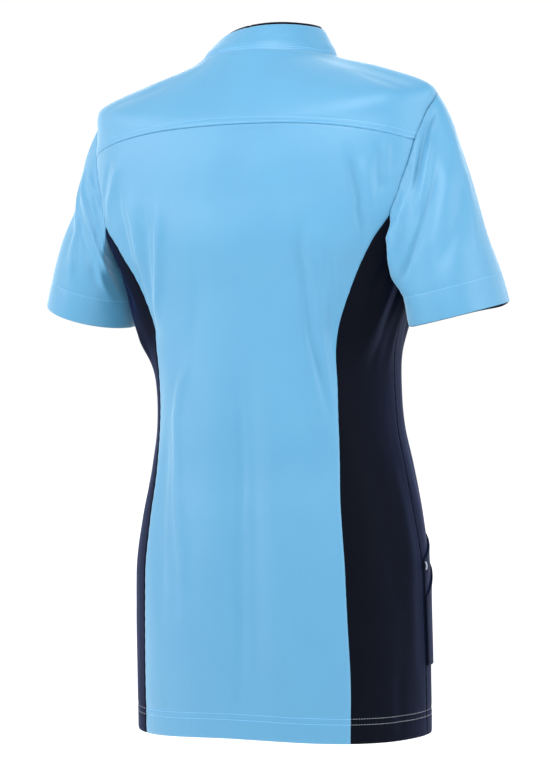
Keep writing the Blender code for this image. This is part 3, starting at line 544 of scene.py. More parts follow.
# Meshes
def placedMesh(name, points, edges=(), faces=()):
    mesh = bpy.data.meshes.new(name)
    mesh.from_pydata(points, edges, faces)
    return placed(name, mesh)


def clothShell(name, outer, inner, material, ring=False, cells=None):
    # a closed shell between two grids, with its own flat UV map in metres
    rows, cols = outer.shape[:2]
    r, c = np.meshgrid(np.arange(rows - 1), np.arange(cols if ring else cols - 1), indexing="ij")
    keep = slice(None) if cells is None else cells
    r, c = r[keep].ravel(), c[keep].ravel()
    grid = closedGrid(outer, ring)
    u, v = runsFrom(grid, 1), runsFrom(grid, 0) * mm
    u = (u - u[:, -1:] / 2) * mm
    steps = ((0, 0), (0, 1), (1, 1), (1, 0))
    quads = np.stack([(r + i) * cols + (c + j) % cols for i, j in steps], -1)
    flat = np.stack([np.stack([u[r + i, c + j], v[r + i, c + j]], -1) for i, j in steps], 1)
    half = rows * cols
    edges, edgeFlat = (np.concatenate([of[:, [k, (k + 1) % 4]] for k in range(4)]) for of in (quads, flat))
    keys = np.sort(edges, 1) @ np.array([half, 1])
    first, count = np.unique(keys, return_index=True, return_counts=True)[1:]
    rim, rimFlat = edges[first[count == 1]], edgeFlat[first[count == 1]]
    rimQuads = np.stack([rim[:, 1], rim[:, 0], rim[:, 0] + half, rim[:, 1] + half], -1)
    faces = np.concatenate([quads, quads[:, ::-1] + half, rimQuads])
    faceFlat = np.concatenate([flat, flat[:, ::-1], rimFlat[:, [1, 0, 0, 1]]])
    points = np.concatenate([outer.reshape(-1, 3), inner.reshape(-1, 3)]) * mm
    used, faces = np.unique(faces, return_inverse=True)
    points, faces = points[used], faces.reshape(-1, 4)
    a, b, across, d = (points[faces[:, k]] for k in range(4))
    if (a * np.cross(b, across)).sum() + (a * np.cross(across, d)).sum() < 0:
        faces, faceFlat = faces[:, ::-1], faceFlat[:, ::-1]
    thing = placedMesh(name, points.tolist(), faces=faces.tolist())
    mesh = thing.data
    uvMap = mesh.uv_layers.new(name="flat")
    uvMap.data.foreach_set("uv", np.ascontiguousarray(faceFlat, np.float32).ravel())
    mesh.shade_smooth()
    mesh.set_sharp_from_angle(angle=math.radians(52))
    mesh.materials.append(material)
    return thing


def closedGrid(points, ring):
    return np.concatenate([points, points[:, :1]], 1) if ring else points


def nodeOf(name):
    # backPanel stands in for the CAD node back_panel
    return "".join("_" + letter.lower() if letter.isupper() else letter for letter in name)


def fit(thing, node=None):
    if node:
        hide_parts(node)
    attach(thing, "root")


def clothPiece(name, outer, facing, thickness, material, ring=False, cells=None):
    # a piece of cloth for its CAD node, with the size that it was cut to
    inner = outer - facing * np.asarray(thickness)[..., None]
    thing = clothShell(name, outer, inner, material, ring, cells)
    fit(thing, nodeOf(name))


# Materials
def linear(code, alpha=1.0):
    values = [int(code[i:i + 2], 16) / 255 for i in (1, 3, 5)]
    return (*[v / 12.92 if v <= 0.04045 else ((v + 0.055) / 1.055) ** 2.4 for v in values], alpha)


def setSockets(node, inputs):
    # an input takes a value, a socket, or a node, which gives its first output in use
    for name, value in inputs.items():
        if isinstance(value, bpy.types.Node):
            value = next(socket for socket in value.outputs if socket.enabled)
        if isinstance(value, bpy.types.NodeSocket):
            node.id_data.links.new(value, node.inputs[name])
        else:
            node.inputs[name].default_value = value


def addNode(tree, kind, settings=None, inputs=None):
    node = tree.nodes.new(kind)
    for name, value in (settings or {}).items():
        setattr(node, name, value)
    setSockets(node, inputs or {})
    return node


def newMaterial(name):
    material = bpy.data.materials.new(name)
    material.use_nodes = True
    return material, material.node_tree.nodes["Principled BSDF"]


# Knitted fabrics: matt polyester piqué, each stitch a small V that catches the light on its arms through its
# bump; the colour is also painted lighter on the raised arms and darker in the hollows between loops, a
# painted highlight and painted shade at the scale of the stitch, over random cloudy and fibre tone
# deep and high are the two ends of the knit colour: deep for the painted shade in each stitch's hollows,
# high for the painted highlight on its raised arms, with random cloudy and fibre tone mixed in
knits = {
    "sky blue knit": {"deep": "#317299", "high": "#3F80A2", "roughness": 0.52, "specular": 0.65,
                      "sheen": 0.5, "sheenTint": "#C8E6FA", "slot": "blue_knit"},
    "navy knit": {"deep": "#030509", "high": "#090B12", "roughness": 0.5, "specular": 0.02,
                  "sheen": 0.24, "sheenTint": "#4562AE", "slot": "navy_knit"},
    "grey tape": {"deep": "#6F7584", "high": "#888E9D", "roughness": 0.7, "specular": 0.3,
                  "sheen": 0.1, "sheenTint": "#E2E6F0", "slot": "grey_tape",
                  "stitchWide": 0.9, "stitchHigh": 1.4, "bump": 0.3},
}
plainStitch = {"stitchWide": 1.3, "stitchHigh": 1.0, "bump": 0.25}   # millimetres, and the bump's strength


def knitMaterial(name):
    look = {**plainStitch, **knits[name]}
    material, shader = newMaterial(name)
    tree = material.node_tree
    flat = addNode(tree, "ShaderNodeUVMap", {"uv_map": "flat"})
    parts = addNode(tree, "ShaderNodeSeparateXYZ", {}, {"Vector": flat}).outputs
    wale = addNode(tree, "ShaderNodeMath", {"operation": "MULTIPLY"},
                   {0: parts["X"], 1: 1000 / look["stitchWide"]})
    waleShare = addNode(tree, "ShaderNodeMath", {"operation": "PINGPONG"}, {0: wale, 1: 0.5})
    slant = addNode(tree, "ShaderNodeMath", {"operation": "MULTIPLY_ADD"},
                    {0: parts["Y"], 1: 1000 / look["stitchHigh"], 2: waleShare})
    course = addNode(tree, "ShaderNodeMath", {"operation": "PINGPONG"}, {0: slant, 1: 0.5})
    loop = addNode(tree, "ShaderNodeMath", {"operation": "MULTIPLY"}, {0: course, 1: waleShare})
    height = addNode(tree, "ShaderNodeMath", {"operation": "POWER"}, {0: loop, 1: 0.5})
    place = addNode(tree, "ShaderNodeTexCoord").outputs["Object"]
    cloudy = addNode(tree, "ShaderNodeTexNoise", {},
                     {"Vector": place, "Scale": 22.0, "Detail": 3.0, "Roughness": 0.55})
    fibre = addNode(tree, "ShaderNodeTexNoise", {}, {"Vector": place, "Scale": 900.0, "Detail": 2.0})
    # the colour follows the stitch height as well as the random tone: painted shade in the hollows between
    # loops and a painted highlight on the raised arms
    share = addNode(tree, "ShaderNodeMath", {"operation": "MULTIPLY_ADD"}, {0: cloudy, 1: 0.5, 2: height})
    tone = addNode(tree, "ShaderNodeMath", {"operation": "MULTIPLY_ADD", "use_clamp": True},
                   {0: fibre, 1: 0.35, 2: share})
    colour = addNode(tree, "ShaderNodeMix", {"data_type": "RGBA"},
                     {"Factor": tone, "A": linear(look["deep"]), "B": linear(look["high"])})
    rough = addNode(tree, "ShaderNodeMapRange", {}, {
        "Value": fibre, "To Min": look["roughness"] - 0.05, "To Max": look["roughness"] + 0.08})
    raised = addNode(tree, "ShaderNodeMath", {"operation": "MULTIPLY_ADD"}, {0: fibre, 1: 0.3, 2: height})
    bump = addNode(tree, "ShaderNodeBump", {},
                   {"Height": raised, "Strength": look["bump"], "Distance": 0.0004})
    setSockets(shader, {
        "Base Color": colour, "Roughness": rough, "Normal": bump, "Specular IOR Level": look["specular"],
        "Sheen Weight": look["sheen"], "Sheen Roughness": 0.45, "Sheen Tint": linear(look["sheenTint"])})
    return material


skyKnit, navyKnit, greyTape = (knitMaterial(name) for name in knits)

# Sewing thread: spun polyester, matt with a soft gleam along the ply
threads = {
    "pale blue thread": {"colour": "#8FC6EC", "ply": "#6FB2E2", "slot": "blue_knit"},
    "grey thread": {"colour": "#A7AEB6", "ply": "#7F868E", "slot": "grey_tape"},
    "navy thread": {"colour": "#10141F", "ply": "#080B12", "slot": "navy_knit"},
}


def threadMaterial(name):
    look = threads[name]
    material, shader = newMaterial(name)
    tree = material.node_tree
    place = addNode(tree, "ShaderNodeTexCoord").outputs["Object"]
    ply = addNode(tree, "ShaderNodeTexNoise", {}, {"Vector": place, "Scale": 2500.0, "Detail": 2.0})
    tone = addNode(tree, "ShaderNodeMix", {"data_type": "RGBA"},
                   {"Factor": ply, "A": linear(look["ply"]), "B": linear(look["colour"])})
    bump = addNode(tree, "ShaderNodeBump", {}, {"Height": ply, "Strength": 0.3, "Distance": 0.0001})
    setSockets(shader, {"Base Color": tone, "Normal": bump, "Roughness": 0.6, "Specular IOR Level": 0.2})
    return material


threadMaterials = {name: threadMaterial(name) for name in threads}

# Buttons: cast polyester, dyed blue, polished, with a faint pearly cloud inside
buttonLook = {"colour": "#4E9BD0", "cloud": "#7DBDE6", "roughness": 0.22}


def buttonMaterial():
    material, shader = newMaterial("blue cast polyester")
    tree = material.node_tree
    place = addNode(tree, "ShaderNodeTexCoord").outputs["Object"]
    cloud = addNode(tree, "ShaderNodeTexNoise", {},
                    {"Vector": place, "Scale": 380.0, "Detail": 3.0, "Distortion": 1.5})
    tone = addNode(tree, "ShaderNodeMix", {"data_type": "RGBA"},
                   {"Factor": cloud, "A": linear(buttonLook["colour"]), "B": linear(buttonLook["cloud"])})
    rough = addNode(tree, "ShaderNodeMapRange", {}, {
        "Value": cloud, "To Min": buttonLook["roughness"], "To Max": buttonLook["roughness"] + 0.15})
    setSockets(shader, {"Base Color": tone, "Roughness": rough, "IOR": 1.55, "Coat Weight": 0.3})
    return material


print("materials made")

# Body panels. A pair of numbers is the height of a ridge, minus for a groove, and its width.
nearSeam = (0.8, 1.7, 2.9, 4.6)
nearHem = (0.8, 2, 4, 7, 10, 13, 16, 18.6, 20, 21.4, 23, 24.6, 26, 27.4, 29)
nearYoke = (0.8, 1.6, 2.6, 4.2, 5.8, 7, 8.2, 10)
rowShares = {"body": 22, "backArmhole": 5, "yokeArmhole": 5, "frontArmhole": 8, "shoulder": 6}
relief = {
    "seam": (-0.7, 1.4),
    "pucker": 0.14, "puckerPitch": 13.0, "puckerReach": 9.0,
    "stitch": (-0.35, 1.2),
    "tug": (0.13, 7.0),
    "hemEdge": (-0.55, 0.9),
    "hemStep": (-0.25, 2.2),
    "hemRows": (20.0, 26.0),
    "hemDouble": 0.9,               # thickness that the turned-up hem adds
}


def seamRelief(distance, alongSeam, puckers=1.0, phase=0.0, deep=1.0):
    sway = 1.4 * np.sin(alongSeam / 31 + phase) + phase
    wave = np.sin(2 * np.pi * alongSeam / relief["puckerPitch"] + sway)
    puckered = puckers * relief["pucker"] * wave * np.exp(-distance / relief["puckerReach"])
    return deep * ridge(distance, *relief["seam"]) + puckered


def stitchRelief(distance, alongSeam, rows, phase=0.0):
    wave = np.sin(alongSeam / 1.35 + 1.2 * np.sin(alongSeam / 17 + phase))
    return (sum(ridge(distance - row, *relief["stitch"]) for row in rows)
            + wave * ridge(distance - rows[0], *relief["tug"]))


def hemRelief(distance, alongHem, rows, phase=0.0):
    step = ridge(distance - rows[-1] - 1.5, *relief["hemStep"])
    return ridge(distance, *relief["hemEdge"]) + step + stitchRelief(distance, alongHem, rows, phase)


def bodyPanel(name, grid, look, material, cells=None):
    points, normal = skin(grid[..., 0], grid[..., 1])
    runs = edgeRuns(points)
    height = sum(seamRelief(runs[edge], runs["left" if edge == "top" else "bottom"], *seam)
                 for edge, seam in look["seams"].items())
    height = height + sum(ridge(runs[edge], *size) for edge, *size in look.get("ridges", ()))
    thickness = np.full(height.shape, body["cloth"])
    if "rows" in look:
        height = height + stitchRelief(runs["bottom"], runs["left"], look["rows"], look["phase"])
    else:
        height = height + hemRelief(runs["bottom"], runs["left"], relief["hemRows"], look["phase"])
        past, fade = body["hemFade"]
        turnedUp = np.clip((body["hemDepth"] + past - runs["bottom"]) / fade, 0, 1)
        thickness = thickness + turnedUp * relief["hemDouble"]
    points = points + normal * height[..., None]
    facing = gridNormals(points, normal)
    clothPiece(name, points, facing, thickness, material, cells=cells)
    return {"points": points, "normal": facing, "runs": runs}


armhole = armholeRuns()
shoulder = armholeKnots["yokeToShoulder"][-1]
backPrincess = seamLine("backPrincess", armholeKnots["princessToYoke"][0])
frontPrincess = seamLine("frontPrincess", armholeKnots["shoulderToFront"][-1])
sideSeam = seamLine("side", armholeKnots["underarmToPrincess"][0])
shoulderSeam = straight(shoulder, (shoulder[0], 0), 60)
yokeAngles = body["yokeAngle"] * np.linspace(1, -1, 200)
yokeSeam = joined((np.stack([yokeAngles, yokeLevel(yokeAngles)], -1), 1))
bodyRows = spaced(body["sideTall"], body["step"], nearHem, nearSeam)

backPanelLook = {
    "seams": {"left": (1, 0.4), "right": (1, 2.1), "top": (1.2, 1.0, 1.1)},
    "ridges": (("top", -0.6, 1.0),),
    "phase": 0.6,
    "tuck": 1.3,                    # how far the back goes under the yoke
    "wide": 270, "topTall": 80,
}


def makeBackPanel():
    left = joined((backPrincess, rowShares["body"]), (armhole["princessToYoke"], rowShares["backArmhole"]))
    bottom = joined((straight(left[1][0], left[1][0] * (-1, 1)), 1))
    w = stacked((bodyRows, rowShares["body"]),
                (spaced(backPanelLook["topTall"], body["step"], (), nearYoke), rowShares["backArmhole"]))
    u = spaced(backPanelLook["wide"], body["step"], nearSeam, nearSeam)
    tuck = backPanelLook["tuck"] * (1 - np.abs(2 * yokeSeam[0] - 1) ** 12)
    under = (yokeSeam[0], yokeSeam[1] + tuck[:, None] * (0, 1))
    return bodyPanel("backPanel", fillGrid(bottom, under, left, flipped(left), u, w), backPanelLook, skyKnit)


backYokeLook = {
    "seams": {"left": (0.6, 0.3), "right": (0.6, 1.2), "top": (0.3,)},
    "ridges": (("bottom", 0.7, 9), ("bottom", -0.6, 0.8)),
    "rows": (1.9, 7.0),
    "phase": 0.2,
    "wide": 330, "tall": 100, "rowStep": 2.4,
}


def makeYoke():
    left = joined((armhole["yokeToShoulder"], rowShares["yokeArmhole"]),
                  (shoulderSeam, rowShares["shoulder"]))
    top = joined((straight((shoulder[0], 0), (-shoulder[0], 0), 200), 1))
    u = spaced(backYokeLook["wide"], body["step"], nearSeam, nearSeam)
    w = spaced(backYokeLook["tall"], backYokeLook["rowStep"], nearYoke, nearSeam)
    grid = fillGrid(yokeSeam, top, left, flipped(left), u, w)
    # the rows follow the curve of the yoke seam, except right at the armholes
    edge = grid[:, :1, 1]
    ends = np.abs(2 * u - 1) ** 16
    inside = pointsAt(yokeSeam, u)[None, :, 1] * (rising(edge[:, 0])[:, None] / body["yokeLevels"][1])
    grid[..., 1] = edge * ends + inside * (1 - ends)
    return bodyPanel("backYoke", grid, backYokeLook, skyKnit)


sideLook = {"puckers": (0.8, 0.8, 1), "wide": 135}


def makeSides(side):
    pieces = []
    for name, princess, run, order in (("sideBack", backPrincess, "underarmToPrincess", 1),
                                       ("sideFront", frontPrincess, "frontToUnderarm", -1)):
        left, right = joined((sideSeam, 1)), joined((princess, 1))
        top = joined((armhole[run][::order], 1))
        bottom = joined((straight(sideSeam[0], princess[0]), 1))
        u = spaced(sideLook["wide"], body["step"], nearSeam, nearSeam)
        grid = fillGrid(bottom, top, left, right, u, bodyRows) * (-side, 1)
        phase = 0.5 + order + side
        seams = {edge: (puckers, phase + k)
                 for k, (edge, puckers) in enumerate(zip(("left", "right", "top"), sideLook["puckers"]))}
        look = {"seams": seams, "phase": phase}
        pieces.append(bodyPanel(name + hands[side], grid, look, navyKnit))
    return pieces


frontPanelLook = {
    "seams": {"left": (0.9, 0.9), "right": (0.9, 1.9), "top": (0.2,)},
    "phase": 1.6,
    "halfWide": 120, "armholeTall": 140, "shoulderTall": 88,
    "stripCells": 8,                # between the halves, below the placket
}
placket = {
    "halfWidth": 13.0,
    "overlap": 3.0,
    "lift": 0.35,
    "cloth": 1.3,
    "underGap": 0.2, "underInset": 0.4,
    "edge": (-0.4, 0.8),
    "stitch": (-0.3, 0.9),
    "stitchIn": 2.2, "boxHigh": 14.0,
}


def placketAngle(level, offset):
    return 180 + np.degrees(np.arcsin(offset / fromTable(ringTable, "halfWidth", level)))


def makeFront():
    left = joined((frontPrincess, rowShares["body"]),
                  (armhole["shoulderToFront"][::-1], rowShares["frontArmhole"]),
                  (shoulderSeam, rowShares["shoulder"]))
    slit = left[0], np.stack([placketAngle(left[1][:, 1], -placket["halfWidth"]), left[1][:, 1]], -1)
    bottom = joined((straight(left[1][0], slit[1][0]), 1))
    top = joined((straight((shoulder[0], 0), (slit[1][-1, 0], 0)), 1))
    look = frontPanelLook
    w = stacked((bodyRows, rowShares["body"]),
                (spaced(look["armholeTall"], body["step"]), rowShares["frontArmhole"]),
                (spaced(look["shoulderTall"], body["step"], (), nearSeam), rowShares["shoulder"]))
    u = spaced(look["halfWide"], body["step"], nearSeam)
    half = fillGrid(bottom, top, left, slit, u, w)
    ends = (1 - u) ** 12
    half[..., 1] = half[:, :1, 1] * ends + rising(half[:, 0, 1])[:, None] * (1 - ends)
    other = half[:, ::-1] * (-1, 1) + (360, 0)
    edge = half[:, -1:]
    shares = np.linspace(0, 1, look["stripCells"] + 1)[None, 1:-1, None]
    grid = np.concatenate([half, edge + (other[:, :1] - edge) * shares, other], 1)
    # the strip between the halves is left out above the foot of the placket
    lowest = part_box("placket_top")[0][2] / mm + placket["overlap"]
    heights = plainBody(edge[:, 0, 0], edge[:, 0, 1])[:, 2]
    cells = np.ones((len(w) - 1, grid.shape[1] - 1), bool)
    first = half.shape[1] - 1
    cells[np.ix_(heights[:-1] > lowest, range(first, first + look["stripCells"]))] = False
    return bodyPanel("frontPanel", grid, look, skyKnit, cells=cells)


backPanel = makeBackPanel()
backYoke = makeYoke()
sidesRight, sidesLeft = makeSides(-1), makeSides(1)
frontPanel = makeFront()
print("body panels made")


# Sleeves
def squared(direction, *others):
    # a direction made square to the others
    direction = np.array(direction, float)
    return unit(direction - sum(other * (direction @ other) for other in others))


def sleeveGrid(side, hem):
    # outer points of a sleeve, the turn of each column and the share of each row
    form = sleeveForm
    loop = np.concatenate([pointsAt(joined((run, 1)), np.linspace(0, 1, count + 1))[:-1]
                           for run, count in zip(armhole.values(), form["columns"])]) * (-side, 1)
    start = skin(loop[:, 0], loop[:, 1])[0]
    normal = unit(np.array(hem["normal"]))
    outward = squared((side, 0, 0), normal)
    back = squared((0, 1, 0), normal, outward)
    turn = np.arctan2((start[:, 1] - form["centreY"]) / form["halfY"],
                      (start[:, 2] - form["centreZ"]) / form["halfZ"])
    end = (np.array(hem["centre"], float) + outward * (form["hemHalfWidth"] * np.cos(turn))[:, None]
           + back * (form["hemHalfDepth"] * np.sin(turn))[:, None])
    reach = np.linalg.norm(end - start, axis=1, keepdims=True)
    lift = form["capLift"] * np.clip(np.cos(turn), 0, 1)[:, None] * (side, 0, 0)
    fromArmhole = start + unit(unit(end - start) + lift) * reach * form["topHandle"]
    toHem = end - normal * reach * form["hemHandle"]
    s = spaced(form["length"], form["rowStep"], nearSeam, form["nearHem"])[:, None, None]
    points = (start * (1 - s) ** 3 + fromArmhole * 3 * s * (1 - s) ** 2
              + toHem * 3 * s * s * (1 - s) + end * s ** 3)
    return points, np.degrees(turn)[None], s[..., 0]


def makeSleeve(side):
    name, form = "sleeve" + hands[side], sleeveForm
    look = sleeves[hands[side]]
    points, turn, s = sleeveGrid(side, look)
    runs = edgeRuns(points)
    normal = gridNormals(points, points - points.mean(1, keepdims=True), ring=True)
    around = form["columnStep"] * np.arange(1, turn.size + 1)[None]
    height = foldRelief(look["folds"], form["scale"], turn, s) * np.clip(s / form["foldStart"], 0, 1)
    growth = np.clip(s / 0.05, 0, 1) * np.clip((1.02 - s) / 0.12, 0, 1)     # from both ends
    height = height + creaseRelief(look["creases"], form["scale"], turn, s, fade=0.25) * growth
    x, y = turn * form["scale"][0] + 40 * side, s * form["scale"][1]
    height = height + softWaves(x, y, form["waves"]) * np.clip(s / 0.1, 0, 1)
    height = height + seamRelief(runs["bottom"], around, 1.0, side)
    height = height + hemRelief(runs["top"], around, (form["hemDepth"],), side + 0.5)
    height = height + ridge(wrapped(turn - 180) * form["scale"][0], *form["underSeam"])
    points = points + normal * height[..., None]
    facing = gridNormals(points, points - points.mean(1, keepdims=True), ring=True)
    clothPiece(name, points, facing, body["cloth"], skyKnit, ring=True)
    # the facing lies inside the hem and rolls out a little below it
    rows = runs["top"].mean(1) <= form["facingDepth"]
    inside = points - facing * (body["cloth"] + form["facingGap"])
    face = inside[rows]
    shows = 1.0 + ridge(wrapped(turn[0] - look["rollTurn"]), form["rollOut"], form["rollWidth"])
    face[-1] = inside[-1] + unit(points[-1] - points[-3]) * shows[:, None]
    clothPiece("sleeveFacing" + hands[side], face, facing[rows], form["facingCloth"], navyKnit,
               ring=True)
    return {"points": points, "normal": facing, "runs": runs}


sleeveRight, sleeveLeft = makeSleeve(-1), makeSleeve(1)
print("sleeves made")

# Collar
collar = {
    "sideZ": 24, "backZ": 28, "frontZ": -42, "halfWidth": 58, "backDepth": 49, "frontDepth": 58,
    "centreY": 9, "fullness": 0,
    "tilt": -0.08,
    "lean": 2.6,
    "bulge": 0.9,
    "ridge": (0.5, 0.10), "ridgeAt": 0.30,
    "baseEdge": (-0.8, 1.2),
    "topEdge": (-0.6, 0.9),
    "crease": (-0.5, 1.6),
    "rows": (1.6, 3.8),
    "centreWave": 0.22,
    "liningGap": 0.3, "liningCloth": 0.9,
    "liningTop": 4.1, "liningBase": 1.0,    # how much higher its two edges lie
}


def makeCollar():
    slit = float(placketAngle(0.0, -placket["halfWidth"]))
    angle = np.linspace(-slit, slit, 140)
    base = skin(angle, np.zeros_like(angle))[0]
    top = ringPoint(collar, angle)
    top[:, 2] += collar["tilt"] * top[:, 0]
    top[:, 0] -= collar["lean"]
    tall = float(np.linalg.norm(top - base, axis=1).mean())
    s = spaced(tall, 1.6, (0.7, 1.5, 2.5), (0.5, 1.1, 2.0))[:, None, None]
    points = base * (1 - s) + top * s
    outward = gridNormals(points, points - points.mean(1, keepdims=True))
    runs = edgeRuns(points)
    around, share = runs["left"], runs["bottom"] / runs["bottom"][-1:]
    height = collar["bulge"] * np.sin(np.pi * share) + ridge(share - collar["ridgeAt"], *collar["ridge"])
    height = height + ridge(runs["bottom"], *collar["baseEdge"]) + ridge(runs["top"], *collar["topEdge"])
    height = height + stitchRelief(runs["bottom"], around, collar["rows"], 0.3)
    wave = np.sin(around / 9 + 2 * np.sin(around / 41))
    height = height + collar["centreWave"] * wave * np.sin(np.pi * share)
    height = height + ridge(angle[None] + 8 - 2 * share, *collar["crease"]) * share
    points = points + outward * height[..., None]
    facing = gridNormals(points, outward)
    clothPiece("collarOuter", points, facing, body["cloth"], skyKnit)
    face = points - facing * (body["cloth"] + collar["liningGap"])
    upward = unit(top - base)
    face[-1] += upward * collar["liningTop"] + facing[-1] * 0.2
    face[0] += upward * collar["liningBase"]
    clothPiece("collarInner", face, facing, collar["liningCloth"], navyKnit)
    return {"points": points, "normal": facing, "runs": runs}


collarPiece = makeCollar()
print("collar made")


# Placket strips
def placketStrip(halfWidth, lowest, columnsWide):
    levels = np.linspace(-180, 0, 400)
    heights = plainBody(np.full(400, 180.0), levels)[:, 2]
    rows = np.linspace(float(np.interp(lowest, heights, levels)), 0, 60)[:, None]
    angle = placketAngle(rows, np.linspace(-halfWidth, halfWidth, columnsWide)[None])
    return skin(angle, np.broadcast_to(rows, angle.shape))


def makePlacket():
    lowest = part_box("placket_top")[0][2] / mm
    half = placket["halfWidth"] + placket["overlap"]
    points, normal = placketStrip(half, lowest, 25)
    inwards = half - np.abs(np.linspace(-half, half, 25))[None]
    height = (placket["lift"] + placket["cloth"] + ridge(inwards, *placket["edge"])
              + ridge(inwards - placket["stitchIn"], *placket["stitch"])
              + ridge(runsFrom(points, 0), *placket["stitch"]))
    points = points + normal * height[..., None]
    clothPiece("placketTop", points, normal, placket["cloth"], skyKnit)
    narrow = placket["halfWidth"] - placket["underInset"]
    under, facing = placketStrip(narrow, lowest + placket["overlap"] + 1, 15)
    clothPiece("placketUnder", under - facing * placket["underGap"], facing, placket["cloth"], skyKnit)
    return {"points": points, "normal": normal, "runs": edgeRuns(points)}


placketPiece = makePlacket()
print("placket made")

# Pockets: two layers over each hip, and a loop of tape behind them
pockets = {
    "edge": 0.03,                   # share of the panel that stays free beside the pocket
    "bottom": -652.0,
    "size": 120,
    "cloth": 0.9,
    "hem": 12.0,
    "rimRow": 1.8, "topRow": 2.0,
    "waves": 0.2,
    "gape": (1.1, 9),
    "rim": (-0.25, 0.9),
    "hemStitch": (-0.3, 1.3),
    "layers": {
        "pocketBack": {"opening": (-541, -521, -500), "lift": 0.25},
        "pocketFront": {"opening": (-580, -553, -527), "lift": 1.45},
    },
    "loop": {"levels": (-550, -541.5), "shares": (0.04, 0.07), "lift": 2.7, "arch": 0.9, "cloth": 0.8},
}


def sideFrontPoint(side, share, level):
    # a point on the side front panel from its share between the two seams
    share, level = np.broadcast_arrays(share, level)
    start, end = (fromTable(seamTable, name, level) for name in ("side", "frontPrincess"))
    return skin((start * (1 - share) + end * share) * -side, level)


def makePockets(side):
    free = pockets["edge"]
    nearRim, size = (0.8, 2), pockets["size"]
    share = (free + (1 - 2 * free) * spaced(size, 3.0, nearRim, nearRim))[None]
    rise = spaced(size, 3.0, nearRim, (*nearRim, 4, 7, 10, 11.4, 12.8, 15))[:, None]
    layers = []
    for name, look in pockets["layers"].items():
        level = pockets["bottom"] * (1 - rise) + np.interp(share, (0.0, 0.5, 1.0), look["opening"]) * rise
        points, normal = sideFrontPoint(side, share, level)
        runs = edgeRuns(points)
        gape = ridge(runs["top"], *pockets["gape"]) * np.sin(np.pi * rise ** 3 * share)
        edge = np.minimum(np.minimum(runs["left"], runs["right"]), runs["bottom"])
        height = (look["lift"] + pockets["cloth"] + np.abs(gape) + ridge(edge, *pockets["rim"])
                  + ridge(runs["top"] - pockets["hem"], *pockets["hemStitch"])
                  + softWaves(runs["left"] * 1.3, runs["bottom"] * 1.3, pockets["waves"]))
        points = points + normal * height[..., None]
        clothPiece(name + hands[side], points, normal, pockets["cloth"], navyKnit)
        layers.append({"points": points, "normal": normal, "runs": runs})
    look, name = pockets["loop"], "pocketLoop" + hands[side]
    points, normal = sideFrontPoint(side, np.linspace(*look["shares"], 6)[None],
                                    np.linspace(*look["levels"], 22)[:, None])
    arch = look["arch"] * np.sin(np.linspace(0, np.pi, 22)) ** 0.8
    points = points + normal * (look["lift"] + arch[:, None])[..., None]
    fit(clothShell(name, points, points - normal * look["cloth"], greyTape), nodeOf(name))
    return layers


pocketPieces = makePockets(-1) + makePockets(1)
print("pockets made")

# Stitches: a tree that sets short thread bars along the sewing lines
sewing = {
    "pitch": 3.0,                   # from one stitch to the next
    "length": 2.5,
    "thick": 0.5, "fine": 0.42, "finest": 0.38,     # thicker than the real 0.3 so that they show
    "lift": 0.12,
    "unevenness": 0.12,
    "seed": 7,
}


def stitchTree():
    tree = bpy.data.node_groups.new("stitches along lines", "GeometryNodeTree")
    tree.is_modifier = True
    for name, kind in (("Geometry", "Geometry"), ("Pitch", "Float"), ("Length", "Float"),
                       ("Thread width", "Float"), ("Unevenness", "Float"), ("Seed", "Int"),
                       ("Thread", "Material")):
        tree.interface.new_socket(name, in_out="INPUT", socket_type="NodeSocket" + kind)
    tree.interface.new_socket("Geometry", in_out="OUTPUT", socket_type="NodeSocketGeometry")
    given = addNode(tree, "NodeGroupInput").outputs
    lines = addNode(tree, "GeometryNodeMeshToCurve", {}, {"Mesh": given["Geometry"]})
    places = addNode(tree, "GeometryNodeCurveToPoints", {"mode": "LENGTH"},
                     {"Curve": lines, "Length": given["Pitch"]})
    turned = addNode(tree, "FunctionNodeAlignRotationToVector", {"axis": "Z"},
                     {"Vector": places.outputs["Tangent"]})
    bar = addNode(tree, "GeometryNodeMeshUVSphere", {}, {"Segments": 6, "Rings": 5, "Radius": 0.5})
    least = addNode(tree, "ShaderNodeMath", {"operation": "SUBTRACT"}, {0: 1.0, 1: given["Unevenness"]})
    chance = addNode(tree, "FunctionNodeRandomValue", {"data_type": "FLOAT"},
                     {"Min": least, "Max": 1.0, "Seed": given["Seed"]})
    length = addNode(tree, "ShaderNodeMath", {"operation": "MULTIPLY"}, {0: given["Length"], 1: chance})
    size = addNode(tree, "ShaderNodeCombineXYZ", {},
                   {"X": given["Thread width"], "Y": given["Thread width"], "Z": length})
    put = addNode(tree, "GeometryNodeInstanceOnPoints", {},
                  {"Points": places, "Instance": bar, "Rotation": turned, "Scale": size})
    real = addNode(tree, "GeometryNodeRealizeInstances", {}, {"Geometry": put})
    smooth = addNode(tree, "GeometryNodeSetShadeSmooth", {}, {"Geometry": real})
    coloured = addNode(tree, "GeometryNodeSetMaterial", {},
                       {"Geometry": smooth, "Material": given["Thread"]})
    addNode(tree, "NodeGroupOutput", {}, {"Geometry": coloured})
    return tree


stitches = stitchTree()


def asPlainMesh(thing):
    # the evaluated result as a mesh of its own, in a new object of the same name
    depsgraph = bpy.context.evaluated_depsgraph_get()
    mesh = bpy.data.meshes.new_from_object(thing.evaluated_get(depsgraph))
    name = thing.name
    for modifier in list(thing.modifiers):
        thing.modifiers.remove(modifier)
    bpy.data.objects.remove(thing)
    mesh.name = name
    return placed(name, mesh)


